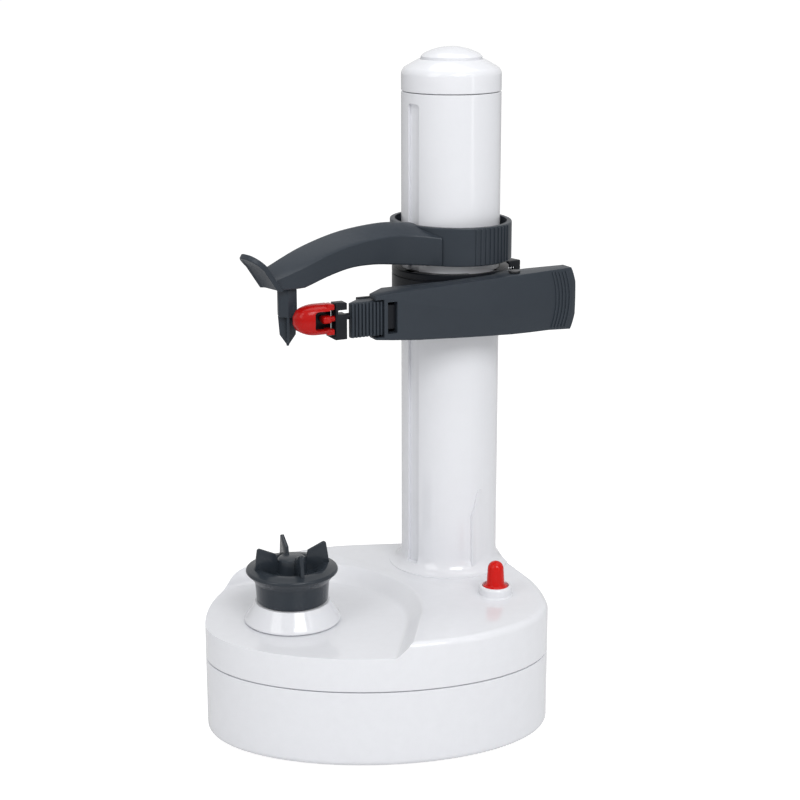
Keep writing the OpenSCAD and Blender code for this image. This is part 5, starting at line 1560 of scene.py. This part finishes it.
    def bowed(self, x: float, y: float, lift: float) -> Point3:
        """Point over the paddle's bowed middle surface.

        Args:
            x: Distance along the arm.
            y: Distance across it.
            lift: Height over the middle surface, outwards.

        Returns:
            The point.
        """
        start, lean, reach = self.end_x + 0.5, math.radians(self.bow_lean), self.bow_r + lift
        turn = lean - (x - start) / self.bow_r * 1.55
        return (start + self.bow_r * math.sin(lean) - reach * math.sin(turn), y,
                self.tip_z - self.bow_r * math.cos(lean) + reach * math.cos(turn))

    def build_pin(self) -> None:
        """Models the turning top holder and ties it to its body."""
        top = self.tip_z - 0.5
        shaft = rod(4.6, top - self.pin_h, top, sides=6, place=turned(self.pin_turn))
        rounded(shaft, 0.45, 2)
        root = top - self.pin_h + 0.1
        fin = side_prism([(-4, root), (4, root), (3.4, top - 20), (0, top - 25), (-3.4, top - 20)],
                         -0.6, 0.6)
        rounded(fin, 0.2)
        fins = repeated(fin, (turned(self.pin_turn + a) for a in (0, 90)))
        pin = merged([shaft, rod(2.5, top - 0.2, top + 7.7, sides=40), *fins])
        pin.data.transform(Matrix.Translation((*PLAN.spindle, 0)))
        settle(pin, "turning_pin", SLATE, "top_holder", ["top_holder"], 30)


# ---------------------------------------------------------------- what stays as the frame has it


@dataclass
class InnerParts:
    """Nodes whose shape is kept, each with its finish."""

    finishes: dict[str, Finish] = field(default_factory=lambda: {
        "base_screws": STEEL, "door_screw": STEEL, "battery_cells": WRAP, "battery_springs": STEEL,
        "contact_plates": STEEL, "gearbox_plate": GEAR, "plate_screws": STEEL, "motor": STEEL,
        "motor_shaft": STEEL, "motor_pinion": BRASS, "cluster_gear": GEAR, "idler_gear": GEAR,
        "gear_axles": STEEL, "spindle_shaft": STEEL, "spindle_gear": GEAR, "spindle_bush": BRASS,
        "screw_gear": GEAR, "lead_screw": STEEL, "screw_lower_bush": BRASS, "screw_upper_bush": BRASS,
        "column_screws": STEEL, "button_spring": STEEL, "start_switch": BLACK, "drive_nut": BRASS,
        "release_springs": STEEL, "arm_pivot_pin": OXIDE, "arm_spring": STEEL, "collar_pads": RUBBER,
        "holder_washer": STEEL})

    def dress(self) -> None:
        """Gives each node its finish."""
        for name, finish in self.finishes.items():
            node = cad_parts[name]
            node.data.materials.clear()
            node.data.materials.append(finish.material())
            LOG.info("node %s: %s", name, finish.name)


# ---------------------------------------------------------------- studio


@dataclass
class Studio:
    """The pale floor, the soft lamps, the world and the camera."""

    floor_grey: float = 0.86
    sky: float = 0.40
    mirror: float = 0.75
    glow: float = 1.5
    glow_share: float = 0.6
    lens: float = 80.72
    shift: Point2 = (-0.01276, -0.00073)
    viewpoint: Point3 = (-0.018132, -0.8, 0.35121)
    look_down: float = 15.1527

    def floor(self) -> None:
        """Lays the floor."""
        bpy.ops.object.select_all(action="DESELECT")
        bpy.ops.mesh.primitive_plane_add(size=14.0, location=(0, 2.0, 0))
        ground = bpy.context.object
        ground.name = "studio_floor"
        paint = bpy.data.materials.new("studio_floor")
        paint.use_nodes = True
        tree = paint.node_tree
        shader = tree.nodes["Principled BSDF"]
        shader.inputs["Base Color"].default_value = (*[self.floor_grey] * 3, 1)
        shader.inputs["Roughness"].default_value = 0.9
        shader.inputs["Specular IOR Level"].default_value = 0.0
        glow = tree.nodes.new("ShaderNodeEmission")
        glow.inputs["Color"].default_value = (1, 1, 1, 1)
        glow.inputs["Strength"].default_value = self.glow
        mix = tree.nodes.new("ShaderNodeMixShader")
        light = tree.nodes.new("ShaderNodeLightPath")
        share = math_node(tree, "MULTIPLY", light.outputs["Is Camera Ray"], self.glow_share)
        tree.links.new(share, mix.inputs[0])
        tree.links.new(shader.outputs[0], mix.inputs[1])
        tree.links.new(glow.outputs[0], mix.inputs[2])
        tree.links.new(mix.outputs[0], tree.nodes["Material Output"].inputs["Surface"])
        ground.data.materials.append(paint)

    def world(self) -> None:
        """Sets an even, pale surround that is white behind the object."""
        world = bpy.data.worlds.new("studio")
        bpy.context.scene.world = world
        world.use_nodes = True
        tree = world.node_tree
        ground = tree.nodes["Background"]
        light = tree.nodes.new("ShaderNodeLightPath")
        lit = math_node(tree, "MULTIPLY_ADD", light.outputs["Is Glossy Ray"], self.mirror - self.sky,
                        self.sky)
        strength = math_node(tree, "MULTIPLY_ADD", light.outputs["Is Camera Ray"], 1.0 - self.sky, lit)
        ground.inputs["Color"].default_value = (1, 1, 1, 1)
        tree.links.new(strength, ground.inputs["Strength"])

    def lamp(self, name: str, at: Point3, aim: Point3, size: Point2, watts: float) -> None:
        """Hangs one soft lamp.

        Args:
            name: Its name.
            at: Its place in metres.
            aim: The point that it faces.
            size: Width and height.
            watts: Its power.
        """
        data = bpy.data.lights.new(name, "AREA")
        data.shape = "RECTANGLE"
        data.size, data.size_y = size
        data.energy = watts
        lamp = bpy.data.objects.new(name, data)
        bpy.context.scene.collection.objects.link(lamp)
        lamp.location = at
        lamp.rotation_euler = (Vector(aim) - Vector(at)).to_track_quat("-Z", "Y").to_euler()

    def camera(self) -> None:
        """Places the camera at the viewing angle."""
        data = bpy.data.cameras.new("camera")
        data.sensor_width = 36.0
        data.lens = self.lens
        data.shift_x, data.shift_y = self.shift
        data.clip_start, data.clip_end = 0.02, 60.0
        camera = bpy.data.objects.new("camera", data)
        bpy.context.scene.collection.objects.link(camera)
        camera.location = self.viewpoint
        camera.rotation_euler = (math.radians(90 - self.look_down), 0, 0)
        bpy.context.scene.camera = camera

    def build(self) -> None:
        """Sets up the whole studio."""
        self.floor()
        self.world()
        self.camera()
        for name, at, aim, size, watts in (
                ("softbox_key", (0.35, -0.95, 0.95), (-0.02, -0.05, 0.12), (0.6, 0.5), 6.9),
                ("softbox_left", (-0.75, -0.75, 0.75), (-0.03, -0.04, 0.14), (0.5, 0.9), 3.1),
                ("softbox_right", (0.62, -0.55, 0.5), (-0.02, -0.03, 0.16), (0.10, 0.9), 0.5),
                ("softbox_top", (0.05, 0.1, 1.1), (-0.03, -0.05, 0.1), (0.9, 0.7), 2.9)):
            self.lamp(name, at, aim, size, watts)
        bpy.context.scene.view_settings.view_transform = "Standard"


def main() -> None:
    """Builds every sub-assembly, dresses the rest and sets the studio."""
    base, column, spindle, carriage = BaseShells(), Column(), Spindle(), Carriage()
    arm, head, upper = BladeArm(), BladeHead(), UpperArm()
    base.build_top()
    base.build_pan()
    base.build_underside()
    column.build_tube(base)
    column.build_cap()
    spindle.build_skirt()
    spindle.build_holder()
    StartButton().build()
    carriage.build_ring()
    carriage.build_tab()
    arm.build()
    head.build_holder()
    head.build_cartridge()
    upper.build()
    upper.build_pin()
    InnerParts().dress()
    Studio().build()


if __name__ == "__main__":
    main()
